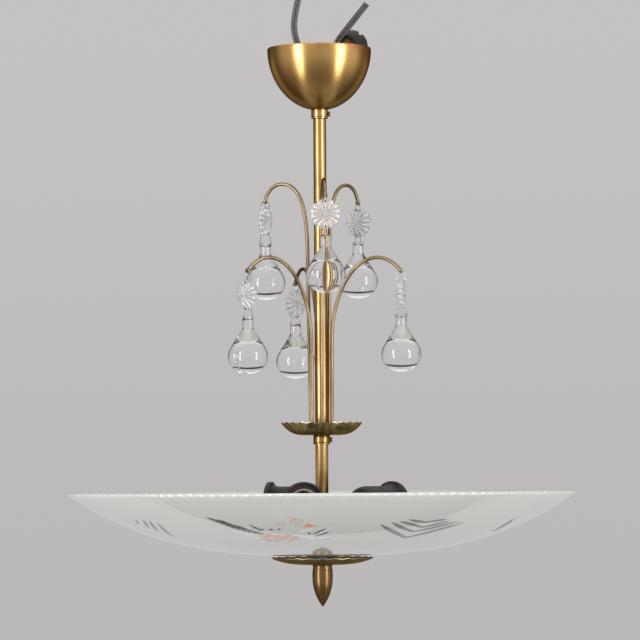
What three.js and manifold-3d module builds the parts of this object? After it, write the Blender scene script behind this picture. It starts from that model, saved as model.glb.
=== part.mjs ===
// Hanging ceiling light: a brass stem with a ceiling cup, a spray of six arms with glass drops,
// and a shallow frosted glass dish over three lampholders. Millimetres, +Z up.
// The origin is the point where the ceiling hook bears on the hanging loop.
import * as THREE from 'three';
import { mergeVertices } from 'three/addons/utils/BufferGeometryUtils.js';
import Module from 'manifold-3d';

const wasm = await Module();
wasm.setup();

// Clearance between pieces that touch, screw or slide
const gap = 0.3;

// Stem tube
const stemR = 6.35;
const stemWall = 1;

// Ceiling cup: half an ellipsoid, open at the top
const cupRimZ = 14;
const cupR = 51.6;
const cupDepth = 61.5;
const cupWall = 1;
const cupFlat = 3;

// Hanging loop on the stem's upper end
const loopThick = 2.4;
const loopWidth = 7;
const loopRingWall = 3;
const loopRingHeight = 7;
const loopStep = 0.4;
const stemAboveRing = 1;

// Collars on the stem, each with one set screw
const collarWall = 1.6;
const collarHeight = 9;
const screwR = 1.5;
const screwHeadR = 2.6;
const screwHeadHeight = 2.2;
const screwSlot = 0.8;

// Spray: fluted saucer, hub and six arms
const saucerThick = 0.8;
const fluteCount = 24;
const sprayFlute = 1.1;
const sprayRimZ = -356.9;
const sprayR = 40;
const sprayDepth = 12.7;
const sprayHubHeight = 8;
const sprayHubWall = 2.15;
const armR = 1.75;
const armFootR = 11;
const eyeR = 2.3;
const eyeThick = 2.6;
const eyeHoleR = 1;

// Tall and low arms: apex height over the dish rim, then the bend and the hook as reaches from the apex
const tall = {
  apexZ: 306,
  apexR: 40.6,
  bend: { startR: 13.3, drop: 80, rise: 50, run: 22.6 },
  hook: { out: 17, down: 17, run: 9.4, fall: 8.5, back: 1.1 },
};
const low = {
  apexZ: 230.5,
  apexR: 58.9,
  bend: { startR: 11.2, drop: 80, rise: 35, run: 30 },
  hook: { out: 24.5, down: 13.7, run: 11, fall: 5.7, back: 4.4 },
};

// Each arm: its azimuth, the azimuth its rosette faces, and the two hanging lengths
const arms = [
  { form: tall, azimuth: 162, face: 161, sink: 0, toRosette: 19.4, toDrop: 21.8 },
  { form: low, azimuth: 211, face: 218, sink: 0, toRosette: 24.5, toDrop: 19.9 },
  { form: low, azimuth: 108, face: 144, sink: 6.7, toRosette: 20.5, toDrop: 18.5 },
  { form: tall, azimuth: -85, face: -90, sink: 0, toRosette: 18, toDrop: 20.3 },
  { form: tall, azimuth: 49, face: 58, sink: 0, toRosette: 20, toDrop: 19 },
  { form: low, azimuth: -19, face: -4, sink: 0, toRosette: 24, toDrop: 18.6 },
];

// Pressed rosette and solid glass drop
const rosetteR = 15;
const rosetteThick = 9.2;
const rosetteEdge = 2.4;
const rosetteShoulder = 0.62;
const petalCount = 14;
const petalCut = 1.5;
const petalGroove = 0.45;
const petalDips = [0, 0.28, 1, 0.28];
const glassHoleR = 1.3;
const rosetteHoleInset = 2.7;
const dropR = 19.7;
const dropHeight = 57;
const dropBelly = 17;
const dropShoulder = 18;
const dropShoulderTurn = 30;
const dropNeckR = 5.3;
const dropHoleInset = 3.2;
const dropEase = 1;
const wireR = 0.35;
const wireCorner = 1.2;

// Glass dish
const dishRimZ = -425.7;
const dishR = 250;
const dishDepth = 63;
const dishWall = 4.5;
const dishLip = 2.5;
const dishCurve = 2.8;
const dishRimEase = 0.6;
const dishRimWidth = 2;
const dishHoleR = 9;

// Lampholders lying in the dish, turned like a pinwheel round the hub
const holderDrop = 12;
const holderTurns = [-43, 77, 197];
const holderNames = ['a', 'b', 'c'];
const holderOffset = 37.4;
const holderSetback = 6.6;
const holderLength = 58;
const holderR = 17.3;
const holderFlangeR = 22;
const holderNeckR = 9;
const holderNeckDepth = 9;
const holderDomeStart = 3;
const holderFlangeLength = 5;
const holderCove = 8;
const holderMouthWall = 2.2;
const holderEase = 1;
const sleeveSeatX = 17;
const sleeveSeatWidth = 3.8;
const sleeveLedge = 1.5;
const sleeveR = 15.5;
const sleeveBore = 13.7;
const sleeveInset = 2.5;
const contactX = 23;
const contactR = 4;
const contactHeight = 2;
const elbowR = 4.5;
const elbowWall = 1;
const elbowInsert = 6;
const hubR = 13;
const hubHeight = 18;
const hubSocketDepth = 6;
const elbowSocketDepth = 4;

// Threaded nipple and what it clamps
const nippleR = 5;
const nippleWall = 1.5;
const bushFlange = 2.4;
const bushFlangeThick = 1.5;
const nutHeight = 6;
const nutAcross = 17;
const nutWasherR = 16;
const nutWasherThick = 1.6;
const lowerR = 50;
const lowerDepth = 7.4;
const lowerFlute = 0.7;
const bushLift = 7.4;
const finialR = 10.2;
const finialLength = 41;
const finialThread = 20;

// Terminal cap lying in the ceiling cup, its mouth to the front, the left and a little down
const capPlace = new THREE.Vector3(26.6, 0, 13.3);
const capTurn = 60;
const capTilt = 20;
const capR = 16;
const capMouthR = 14.3;
const capDepth = 24;
const capWall = 2.2;
const capRecess = 1;
const blockInset = 8;
const blockThick = 9;

// Leads: flat twin cord, and one single core to the terminal block
const leadWidth = 6.2;
const leadThick = 3;
const coreR = 0.9;
const leadRightRoute = [
  [0, -1.65, -46], [0, -1.65, -37], [1.2, -1.8, -30], [4.2, -2.1, -22], [7.8, -2.6, -14],
  [10.6, -3.2, -6], [12.6, -4, 1], [14.8, -5.4, 10.5], [18.4, -7, 20.3], [25, -8.4, 29.3],
  [32.5, -9.2, 38.6], [40, -9.7, 47.9], [47.5, -10, 57.2],
];
const leadLeftRoute = [
  [0, 1.65, -46], [0, 1.65, -37], [-1.2, 1.65, -30], [-4.2, 1.65, -22], [-8.2, 1.65, -13],
  [-12, 1.65, -4], [-15.6, 1.65, 5], [-19, 1.65, 13.5], [-21.7, 1.65, 20.3], [-23.9, 1.65, 28],
  [-24.8, 1.65, 36.5], [-24, 1.65, 46.5], [-22.2, 1.65, 56], [-20.2, 1.65, 65], [-17.3, 1.65, 76],
  [-13.5, 1.65, 88],
];
const coreRoute = [
  [4.3, 0, -46], [4.3, 0, -37], [5.7, -4.5, -30], [9, -8.4, -22], [14, -13, -13],
  [17.6, -15.4, -6], [19.5, -14.5, 2], [21.3, -10.5, 8.2], [24.2, -4.5, 11.4], [27.4, 1.4, 13.9],
  [30.2, 6.27, 15.93],
];

// Finishes
function finish(color, roughness, metalness) {
  return new THREE.MeshStandardMaterial({ color, roughness, metalness });
}

const brass = () => finish(0xa8843f, 0.35, 1);
const darkBrass = () => finish(0x6b4d22, 0.3, 1);
const clearGlass = () => finish(0xe6ecec, 0.05, 0);
const frostedGlass = () => finish(0xc3cbc5, 0.5, 0);
const bakelite = () => finish(0x3b3633, 0.35, 0);
const porcelain = () => finish(0xb3a48c, 0.5, 0);
const steel = () => finish(0x8d8d8a, 0.35, 1);
const rubber = () => finish(0x8b8f86, 0.7, 0);
const cordSkin = () => finish(0x77787a, 0.5, 0);

// Shared working: tidy closed meshes, solids for cutting and joining, and the basic forms
function tidy(source) {
  const bare = source.index ? source.toNonIndexed() : source.clone();
  bare.deleteAttribute('normal');
  bare.deleteAttribute('uv');
  const merged = mergeVertices(bare, 1e-4);
  const kept = [];
  const index = merged.index.array;
  for (let i = 0; i < index.length; i += 3) {
    const [a, b, c] = [index[i], index[i + 1], index[i + 2]];
    if (a !== b && b !== c && c !== a) kept.push(a, b, c);
  }
  if (volumeOf(merged.attributes.position, kept) < 0) kept.reverse();
  merged.setIndex(kept);
  return merged;
}

function volumeOf(position, index) {
  const [a, b, c] = [new THREE.Vector3(), new THREE.Vector3(), new THREE.Vector3()];
  let sum = 0;
  for (let i = 0; i < index.length; i += 3) {
    a.fromBufferAttribute(position, index[i]);
    b.fromBufferAttribute(position, index[i + 1]);
    c.fromBufferAttribute(position, index[i + 2]);
    sum += a.dot(b.cross(c)) / 6;
  }
  return sum;
}

function toSolid(geometry) {
  const clean = tidy(geometry);
  const vertProperties = new Float32Array(clean.attributes.position.array);
  const triVerts = new Uint32Array(clean.index.array);
  return new wasm.Manifold(new wasm.Mesh({ numProp: 3, vertProperties, triVerts }));
}

function fromSolid(solid) {
  const mesh = solid.getMesh();
  const geometry = new THREE.BufferGeometry();
  geometry.setAttribute('position', new THREE.BufferAttribute(new Float32Array(mesh.vertProperties), 3));
  geometry.setIndex([...mesh.triVerts]);
  return geometry;
}

function joined(first, ...others) {
  return fromSolid(others.reduce((sum, other) => sum.add(toSolid(other)), toSolid(first)));
}

function cut(body, ...tools) {
  return fromSolid(tools.reduce((rest, tool) => rest.subtract(toSolid(tool)), toSolid(body)));
}

// A turned piece: outline points are [radius, height], closed on themselves or ending on the axis
function turned(outline, segments) {
  const points = outline.map(([r, z]) => new THREE.Vector2(r, z));
  if (outline[0][0] > 0 || outline.at(-1)[0] > 0) points.push(points[0].clone());
  return new THREE.LatheGeometry(points, segments).rotateX(Math.PI / 2);
}

// A plain ring between two radii and two heights
function ring(innerR, outerR, bottomZ, topZ, segments) {
  return turned([[innerR, bottomZ], [outerR, bottomZ], [outerR, topZ], [innerR, topZ]], segments);
}

// A round bar along an axis, from one distance to another
function barX(radius, from, to, sides) {
  const bar = new THREE.CylinderGeometry(radius, radius, to - from, sides);
  return bar.rotateZ(Math.PI / 2).translate((from + to) / 2, 0, 0);
}

function barZ(radius, from, to, sides) {
  const bar = new THREE.CylinderGeometry(radius, radius, to - from, sides);
  return bar.rotateX(Math.PI / 2).translate(0, 0, (from + to) / 2);
}

function alongRoute(section, curve, steps) {
  const settings = { steps, extrudePath: curve, bevelEnabled: false, curveSegments: 1 };
  return new THREE.ExtrudeGeometry(section, settings);
}

function roundSection(radius, sides) {
  const section = new THREE.Shape();
  for (let i = 0; i < sides; i++) {
    const turn = (2 * Math.PI * i) / sides;
    section[i ? 'lineTo' : 'moveTo'](radius * Math.cos(turn), radius * Math.sin(turn));
  }
  return section;
}

// A closed wire link in the XZ plane with rounded corners, as rings of points joined in a loop
function wireLink(topZ, topHalf, bottomZ, bottomHalf) {
  const sides = 5;
  const stepsPerCorner = 2;
  const corners = [[topHalf, topZ], [-topHalf, topZ], [-bottomHalf, bottomZ], [bottomHalf, bottomZ]]
    .map(([x, z]) => new THREE.Vector3(x, 0, z));
  const centres = [];
  corners.forEach((corner, i) => {
    const before = corners[(i + 3) % 4].clone().sub(corner).setLength(wireCorner).add(corner);
    const after = corners[(i + 1) % 4].clone().sub(corner).setLength(wireCorner).add(corner);
    const bend = new THREE.QuadraticBezierCurve3(before, corner, after);
    centres.push(...bend.getPoints(stepsPerCorner));
  });
  const count = centres.length;
  const positions = [];
  centres.forEach((centre, i) => {
    const along = centres[(i + 1) % count].clone().sub(centres[(i + count - 1) % count]).normalize();
    const side = new THREE.Vector3(0, 1, 0).cross(along);
    for (let k = 0; k < sides; k++) {
      const turn = (2 * Math.PI * k) / sides;
      const spot = centre.clone().addScaledVector(side, wireR * Math.cos(turn));
      positions.push(spot.x, spot.y + wireR * Math.sin(turn), spot.z);
    }
  });
  const index = [];
  for (let i = 0; i < count; i++) {
    for (let k = 0; k < sides; k++) {
      const [a, b] = [i * sides + k, i * sides + ((k + 1) % sides)];
      const [c, d] = [((i + 1) % count) * sides + k, ((i + 1) % count) * sides + ((k + 1) % sides)];
      index.push(a, b, c, b, d, c);
    }
  }
  const geometry = new THREE.BufferGeometry();
  geometry.setAttribute('position', new THREE.Float32BufferAttribute(positions, 3));
  geometry.setIndex(index);
  return geometry;
}

const light = new THREE.Group();

function place(name, geometry, material, parent = light) {
  const mesh = new THREE.Mesh(tidy(geometry), material);
  mesh.name = name;
  parent.add(mesh);
  return mesh;
}

const radians = THREE.MathUtils.degToRad;

// Ceiling cup, with a small flat round its hole
const stemHoleR = stemR + gap;
const cupSteps = 8;

function cupSide(radius, depth) {
  const start = Math.asin((stemHoleR + cupFlat) / radius);
  const points = [];
  for (let i = 0; i <= cupSteps; i++) {
    const turn = start + ((Math.PI / 2 - start) * i) / cupSteps;
    points.push([radius * Math.sin(turn), cupRimZ - depth * Math.cos(turn)]);
  }
  return points;
}

const cupOuter = cupSide(cupR, cupDepth);
const cupInner = cupSide(cupR - cupWall, cupDepth - cupWall).reverse();
const cupBottomZ = cupOuter[0][1];
const cupFloorZ = cupInner.at(-1)[1];
const cupOutline = [[stemHoleR, cupBottomZ], ...cupOuter, ...cupInner, [stemHoleR, cupFloorZ]];
place('ceiling_cup', turned(cupOutline, 30), brass());

// Hanging loop: a ring on the stem with a strap arched over it
const loopRingBottomZ = cupFloorZ + gap;
const loopRingTopZ = loopRingBottomZ + loopRingHeight;
const stemTopZ = loopRingTopZ + stemAboveRing;
const loopInner = stemHoleR + loopStep;
const loopOuter = loopInner + loopThick;
const loopFootZ = loopRingTopZ - loopRingHeight / 2;
const loopArchZ = -loopInner;
const archShape = new THREE.Shape();
archShape.moveTo(loopOuter, loopFootZ);
archShape.absarc(0, loopArchZ, loopOuter, 0, Math.PI, false);
archShape.lineTo(-loopOuter, loopFootZ);
archShape.lineTo(-loopInner, loopFootZ);
archShape.absarc(0, loopArchZ, loopInner, Math.PI, 0, true);
archShape.lineTo(loopInner, loopFootZ);
archShape.closePath();
const standing = new THREE.Matrix4().makeBasis(
  new THREE.Vector3(0, 1, 0),
  new THREE.Vector3(0, 0, 1),
  new THREE.Vector3(1, 0, 0),
);
const arch = new THREE.ExtrudeGeometry(archShape, { depth: loopWidth, bevelEnabled: false, curveSegments: 8 })
  .translate(0, 0, -loopWidth / 2)
  .applyMatrix4(standing);
const loopRing = ring(stemHoleR, stemHoleR + loopRingWall, loopRingBottomZ, loopRingTopZ, 20);
place('hanging_loop', joined(loopRing, arch), steel());

// Collar with a set screw on its +X side
const collarR = stemHoleR + collarWall;

function collar(name, screwName, topZ) {
  const middleZ = topZ - collarHeight / 2;
  const body = ring(stemHoleR, collarR, topZ - collarHeight, topZ, 24);
  const hole = barX(screwR + gap, 0, collarR * 2, 8).translate(0, 0, middleZ);
  place(name, cut(body, hole), brass());
  const headX = collarR + gap;
  const shank = barX(screwR, stemHoleR, headX + screwHeadHeight / 2, 8);
  const head = barX(screwHeadR, headX, headX + screwHeadHeight, 12);
  const slotDepth = screwHeadHeight / 2;
  const slot = new THREE.BoxGeometry(slotDepth, screwHeadR * 3, screwSlot)
    .translate(headX + screwHeadHeight - slotDepth / 2 + gap, 0, 0);
  place(screwName, cut(joined(head, shank), slot), brass()).position.z = middleZ;
  return topZ - collarHeight;
}

collar('cup_collar', 'cup_screw', cupBottomZ - gap);

// Fluted saucer: flat middle, then a rising edge with radial flutes, as two skins joined at hole and rim
function saucer(radius, flatR, holeR, bottomZ, depth, fluteDepth) {
  const risePower = 2.6;
  const spokes = fluteCount * 2;
  const rises = [0, 0.4, 0.75, 1];
  const reach = [holeR, ...rises.map((share) => flatR + (radius - flatR) * share)];
  const positions = [];
  for (const lift of [0, saucerThick]) {
    for (let k = 0; k < spokes; k++) {
      const turn = (2 * Math.PI * k) / spokes;
      reach.forEach((r) => {
        const share = Math.max(0, (r - flatR) / (radius - flatR));
        const flute = (k % 2 ? -0.5 : 0.5) * fluteDepth * share;
        const z = bottomZ + (depth - fluteDepth / 2 - saucerThick) * share ** risePower + flute + lift;
        positions.push(r * Math.cos(turn), r * Math.sin(turn), z);
      });
    }
  }
  const rows = reach.length;
  const skin = spokes * rows;
  const at = (side, k, row) => side * skin + (k % spokes) * rows + row;
  const index = [];
  const quad = (a, b, c, d) => index.push(a, b, c, a, c, d);
  for (let k = 0; k < spokes; k++) {
    for (let row = 0; row < rows - 1; row++) {
      quad(at(1, k, row), at(1, k, row + 1), at(1, k + 1, row + 1), at(1, k + 1, row));
      quad(at(0, k, row), at(0, k + 1, row), at(0, k + 1, row + 1), at(0, k, row + 1));
    }
    quad(at(0, k, rows - 1), at(0, k + 1, rows - 1), at(1, k + 1, rows - 1), at(1, k, rows - 1));
    quad(at(0, k + 1, 0), at(0, k, 0), at(1, k, 0), at(1, k + 1, 0));
  }
  const geometry = new THREE.BufferGeometry();
  geometry.setAttribute('position', new THREE.Float32BufferAttribute(positions, 3));
  geometry.setIndex(index);
  return geometry;
}

// Spray saucer on its collar, with the hub that holds the arms' feet
const sprayHubR = armFootR + armR + gap + sprayHubWall;
const sprayBottomZ = sprayRimZ - sprayDepth;
const spraySaucer = saucer(sprayR, sprayHubR + gap, stemHoleR, sprayBottomZ, sprayDepth, sprayFlute);
place('spray_saucer', spraySaucer, brass());
collar('spray_collar', 'spray_screw', sprayBottomZ - gap);
const sprayHubBottomZ = sprayBottomZ + saucerThick + gap;
const sprayHubTopZ = sprayHubBottomZ + sprayHubHeight;
const socketFloorZ = sprayHubBottomZ + sprayHubHeight / 4;
const footHoles = arms.map(({ azimuth }) => barZ(armR + gap, socketFloorZ, sprayHubTopZ + gap, 6)
  .translate(armFootR, 0, 0)
  .rotateZ(radians(azimuth)));
const sprayHubRing = ring(stemHoleR, sprayHubR, sprayHubBottomZ, sprayHubTopZ, 24);
place('spray_hub', cut(sprayHubRing, ...footHoles), darkBrass());

// One arm in its own upright plane: straight rod, bend up to the apex, hook down to the eye
const footZ = socketFloorZ + gap;

function armGeometry({ form, azimuth, face, sink }) {
  const { apexR, bend, hook } = form;
  const apexZ = dishRimZ + form.apexZ - sink;
  const spot = (r, z) => new THREE.Vector3(r, 0, z);
  const bendStart = spot(bend.startR, apexZ - bend.drop);
  const apex = spot(apexR, apexZ);
  const tip = spot(apexR + hook.out, apexZ - hook.down);
  const path = new THREE.CurvePath();
  path.add(new THREE.CubicBezierCurve3(bendStart, spot(bend.startR, apexZ - bend.drop + bend.rise),
    spot(apexR - bend.run, apexZ), apex));
  path.add(new THREE.CubicBezierCurve3(apex, spot(apexR + hook.run, apexZ),
    spot(tip.x - hook.back, tip.z + hook.fall), tip));
  const curved = alongRoute(roundSection(armR, 6), path, 12);
  const foot = spot(armFootR, footZ);
  const straight = new THREE.LineCurve3(foot, bendStart.clone().add(spot(0, armR)));
  const rod = alongRoute(roundSection(armR, 6), straight, 1);
  const atTip = (bar) => bar.rotateZ(radians(face - azimuth)).translate(tip.x, 0, tip.z);
  const eye = atTip(barX(eyeR, -eyeThick / 2, eyeThick / 2, 8));
  const hole = atTip(barX(eyeHoleR, -eyeR * 2, eyeR * 2, 6));
  return { geometry: cut(joined(curved, rod, eye), hole), tip };
}

// Pressed rosette facing X, with round petals between grooves and a hole near the top and bottom
const rosetteHoleR = rosetteR - rosetteHoleInset;

function rosetteHalfAt(share) {
  return (rosetteEdge + (rosetteThick - rosetteEdge) * Math.sqrt(Math.max(0, 1 - share ** 2))) / 2;
}

const rosetteHoleHalf = THREE.MathUtils.mapLinear(
  rosetteHoleR / rosetteR, rosetteShoulder, 1, rosetteHalfAt(rosetteShoulder), rosetteHalfAt(1),
);

function rosette() {
  const spokes = petalCount * petalDips.length;
  const shares = [rosetteShoulder, 1];
  const positions = [rosetteThick / 2, 0, 0, -rosetteThick / 2, 0, 0];
  for (let k = 0; k < spokes; k++) {
    const turn = (2 * Math.PI * k) / spokes;
    const dip = petalDips[k % petalDips.length];
    for (const side of [1, -1]) {
      shares.forEach((share) => {
        const r = rosetteR * share - (share === 1 ? dip * petalCut : 0);
        const x = side * (rosetteHalfAt(share) - dip * petalGroove);
        positions.push(x, r * Math.sin(turn), r * Math.cos(turn));
      });
    }
  }
  const at = (k, side, ringNo) => 2 + (k % spokes) * 4 + side * 2 + ringNo;
  const index = [];
  for (let k = 0; k < spokes; k++) {
    index.push(0, at(k + 1, 0, 0), at(k, 0, 0));
    index.push(at(k, 0, 0), at(k + 1, 0, 0), at(k + 1, 0, 1), at(k, 0, 0), at(k + 1, 0, 1), at(k, 0, 1));
    index.push(at(k, 0, 1), at(k + 1, 0, 1), at(k + 1, 1, 1), at(k, 0, 1), at(k + 1, 1, 1), at(k, 1, 1));
    index.push(at(k, 1, 1), at(k + 1, 1, 1), at(k + 1, 1, 0), at(k, 1, 1), at(k + 1, 1, 0), at(k, 1, 0));
    index.push(1, at(k, 1, 0), at(k + 1, 1, 0));
  }
  const geometry = new THREE.BufferGeometry();
  geometry.setAttribute('position', new THREE.Float32BufferAttribute(positions, 3));
  geometry.setIndex(index);
  const holes = [rosetteHoleR, -rosetteHoleR]
    .map((z) => barX(glassHoleR, -rosetteThick, rosetteThick, 6).translate(0, 0, z));
  return cut(geometry, ...holes);
}

// Solid glass drop hanging from z = 0: neck, straight shoulder, round belly
function drop() {
  const arc = (end, steps, spot) => Array.from({ length: steps + 1 }, (_, i) => (
    spot(radians((end * i) / steps))
  ));
  const bellyZ = dropBelly - dropHeight;
  const lower = arc(90, 5, (t) => [dropR * Math.sin(t), bellyZ - dropBelly * Math.cos(t)]);
  const upper = arc(dropShoulderTurn, 2, (t) => [dropR * Math.cos(t), bellyZ + dropShoulder * Math.sin(t)])
    .slice(1);
  const [shoulderR, shoulderZ] = upper.at(-1);
  const slope = (dropR / dropShoulder) * Math.tan(radians(dropShoulderTurn));
  const neckZ = shoulderZ + (shoulderR - dropNeckR) / slope;
  const neck = [[dropNeckR, neckZ], [dropNeckR, -dropEase], [dropNeckR - dropEase, 0], [0, 0]];
  const outline = [...lower, ...upper, ...neck];
  const hole = barX(glassHoleR, -dropNeckR * 2, dropNeckR * 2, 6).translate(0, 0, -dropHoleInset);
  return cut(turned(outline, 12), hole);
}

// Wire sits this far off a hole's middle when it hangs in the hole
const eyeHang = eyeHoleR - wireR - gap;
const glassHang = glassHoleR - wireR - gap;
const wireStandOff = wireCorner / 2 + wireR + gap;
const neckHalf = dropNeckR + wireStandOff;
const linkHalf = Math.max(rosetteHoleHalf, armR) + wireStandOff;

arms.forEach((arm, i) => {
  const number = i + 1;
  const { geometry, tip } = armGeometry(arm);
  place(`arm_${number}`, geometry, brass()).rotation.z = radians(arm.azimuth);
  const pendant = new THREE.Group();
  pendant.position.copy(tip).applyAxisAngle(new THREE.Vector3(0, 0, 1), radians(arm.azimuth));
  pendant.rotation.z = radians(arm.face);
  light.add(pendant);
  const upperHoleZ = rosetteHoleR - arm.toRosette;
  const lowerHoleZ = -rosetteHoleR - arm.toRosette;
  const dropTopZ = -arm.toRosette - arm.toDrop;
  place(`arm_link_${number}`, wireLink(-eyeHang, linkHalf, upperHoleZ + glassHang, linkHalf), steel(), pendant);
  place(`rosette_${number}`, rosette(), clearGlass(), pendant).position.z = -arm.toRosette;
  const dropLink = wireLink(lowerHoleZ - glassHang, linkHalf, dropTopZ - dropHoleInset + glassHang, neckHalf);
  place(`drop_link_${number}`, dropLink, steel(), pendant);
  place(`drop_${number}`, drop(), clearGlass(), pendant).position.z = dropTopZ;
});

// Lampholder hub: stem socket above, cross passages to the elbows, thread for the nipple below
const hubAxisZ = dishRimZ - holderDrop;
const hubTopZ = hubAxisZ + hubHeight / 2;
const hubBottomZ = hubTopZ - hubHeight;
const stemBottomZ = hubTopZ - hubSocketDepth;
const nippleHoleR = nippleR + gap;
const hubOutline = [
  [nippleHoleR, hubBottomZ], [hubR, hubBottomZ], [hubR, hubTopZ], [stemHoleR, hubTopZ],
  [stemHoleR, stemBottomZ - gap], [nippleHoleR, stemBottomZ - gap],
];
const elbowSeatR = hubR - elbowSocketDepth;
const hubPassages = holderTurns.flatMap((turn) => [
  barX(elbowR + gap, elbowSeatR, hubR * 2, 8),
  barX(elbowR - elbowWall, 0, hubR, 6),
].map((bar) => bar.rotateZ(radians(turn)).translate(0, 0, hubAxisZ)));
place('holder_hub', cut(turned(hubOutline, 24), ...hubPassages), brass());
place('stem_tube', ring(stemR - stemWall, stemR, stemBottomZ, stemTopZ, 24), brass());

// Lampholder shell along +X from its neck to its mouth
const sleeveHoleR = sleeveR + gap;
const holderSides = 16;

function holderShell() {
  const dome = [0, 30, 60, 90].map((t) => [
    holderNeckR + (holderR - holderNeckR) * Math.sin(radians(t)),
    sleeveSeatX - (sleeveSeatX - holderDomeStart) * Math.cos(radians(t)),
  ]);
  const flangeX = holderLength - holderFlangeLength;
  const cove = [0, 45, 90].map((t) => [
    holderR + (holderFlangeR - holderR) * (1 - Math.cos(radians(t))),
    flangeX - holderCove + holderCove * Math.sin(radians(t)),
  ]);
  const mouthR = holderFlangeR - holderMouthWall;
  const ledgeX = flangeX + sleeveLedge;
  const seatR = sleeveHoleR - sleeveSeatWidth;
  const outline = [
    [elbowR + gap, 0], [holderNeckR, 0], ...dome, ...cove,
    [holderFlangeR, holderLength - holderEase], [holderFlangeR - holderEase, holderLength],
    [mouthR, holderLength], [mouthR, ledgeX], [sleeveHoleR, ledgeX], [sleeveHoleR, sleeveSeatX],
    [seatR, sleeveSeatX], [seatR, holderNeckDepth], [elbowR + gap, holderNeckDepth],
  ];
  return turned(outline, holderSides);
}

// Insulating sleeve with its floor and centre contact
const sleeveFrontX = holderLength - sleeveInset;

function holderSleeve() {
  const floorX = contactX - contactHeight;
  return turned([
    [0, sleeveSeatX + gap], [sleeveR, sleeveSeatX + gap], [sleeveR, sleeveFrontX], [sleeveBore, sleeveFrontX],
    [sleeveBore, floorX], [contactR, floorX], [contactR, contactX], [0, contactX],
  ], holderSides);
}

function elbow() {
  const bendR = holderSetback - gap;
  const spot = (x, y) => new THREE.Vector3(x, y, 0);
  const corner = spot(holderOffset, 0);
  const path = new THREE.CurvePath();
  path.add(new THREE.LineCurve3(spot(elbowSeatR + gap, 0), spot(holderOffset - bendR, 0)));
  path.add(new THREE.QuadraticBezierCurve3(spot(holderOffset - bendR, 0), corner, spot(holderOffset, bendR)));
  path.add(new THREE.LineCurve3(spot(holderOffset, bendR), spot(holderOffset, holderSetback + elbowInsert)));
  const section = roundSection(elbowR, 8);
  section.holes.push(roundSection(elbowR - elbowWall, 8));
  return alongRoute(section, path, 8);
}

holderTurns.forEach((turn, i) => {
  const side = new THREE.Group();
  side.position.z = hubAxisZ;
  side.rotation.z = radians(turn);
  light.add(side);
  place(`elbow_${holderNames[i]}`, elbow(), brass(), side);
  const holder = new THREE.Group();
  holder.position.set(holderOffset, holderSetback, 0);
  holder.rotation.z = Math.PI / 2;
  side.add(holder);
  const lying = (geometry) => geometry.rotateY(Math.PI / 2);
  place(`holder_shell_${holderNames[i]}`, lying(holderShell()), bakelite(), holder);
  place(`holder_sleeve_${holderNames[i]}`, lying(holderSleeve()), porcelain(), holder);
});

// Glass dish: the outside follows a power curve, the inside is that curve lifted by the wall
const dishBottomZ = dishRimZ - dishDepth;
const dishSteps = [0.14, 0.3, 0.45, 0.6, 0.72, 0.84, 0.93, 1];
const dishRise = dishDepth - dishLip;

function dishSpot(share) {
  const slope = (dishRise * dishCurve / dishR) * share ** (dishCurve - 1);
  const normal = new THREE.Vector2(-slope, 1).normalize().multiplyScalar(dishWall);
  return { r: dishR * share, z: dishBottomZ + dishRise * share ** dishCurve, normal };
}

const dishOutside = dishSteps.map(dishSpot);
const dishInside = dishOutside
  .map(({ r, z, normal }) => [r + normal.x, z + normal.y])
  .filter(([, z]) => z < dishRimZ - 1)
  .reverse();
const [innerLastR, innerLastZ] = dishInside[0];
const rimInnerR = innerLastR + (dishRimZ - innerLastZ) / (dishRise * dishCurve / dishR);
const dishFloorZ = dishBottomZ + dishWall;
const dishOutline = [
  [dishHoleR, dishBottomZ], ...dishOutside.map(({ r, z }) => [r, z]), [dishR - dishRimEase, dishRimZ],
  [Math.min(rimInnerR, dishR - dishRimWidth), dishRimZ], ...dishInside, [dishHoleR, dishFloorZ],
];
place('glass_dish', turned(dishOutline, 48), frostedGlass());

// Rubber bush in the dish's hole, flanged above and thick below, down to the lower saucer
const bushR = dishHoleR - gap;
const bushTopR = bushR + bushFlange;
const bushBottomZ = dishBottomZ - gap - bushLift;
place('dish_bush', turned([
  [nippleHoleR, bushBottomZ], [bushTopR, bushBottomZ], [bushTopR, dishBottomZ - gap],
  [bushR, dishBottomZ - gap], [bushR, dishFloorZ + gap], [bushTopR, dishFloorZ + gap],
  [bushTopR, dishFloorZ + gap + bushFlangeThick], [nippleHoleR, dishFloorZ + gap + bushFlangeThick],
], 20), rubber());

// Flanged hexagon nut that clamps the dish from inside
const nutBottomZ = dishFloorZ + gap + bushFlangeThick + gap;
const nutWasher = ring(nippleHoleR, nutWasherR, nutBottomZ, nutBottomZ + nutWasherThick, 24);
const nutHexR = nutAcross / 2 / Math.cos(Math.PI / 6);
const nutHex = cut(
  barZ(nutHexR, nutBottomZ, nutBottomZ + nutWasherThick + nutHeight, 6),
  barZ(nippleHoleR, nutBottomZ - 1, nutBottomZ + nutWasherThick + nutHeight + 1, 24),
);
place('dish_nut', joined(nutWasher, nutHex), brass());

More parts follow.
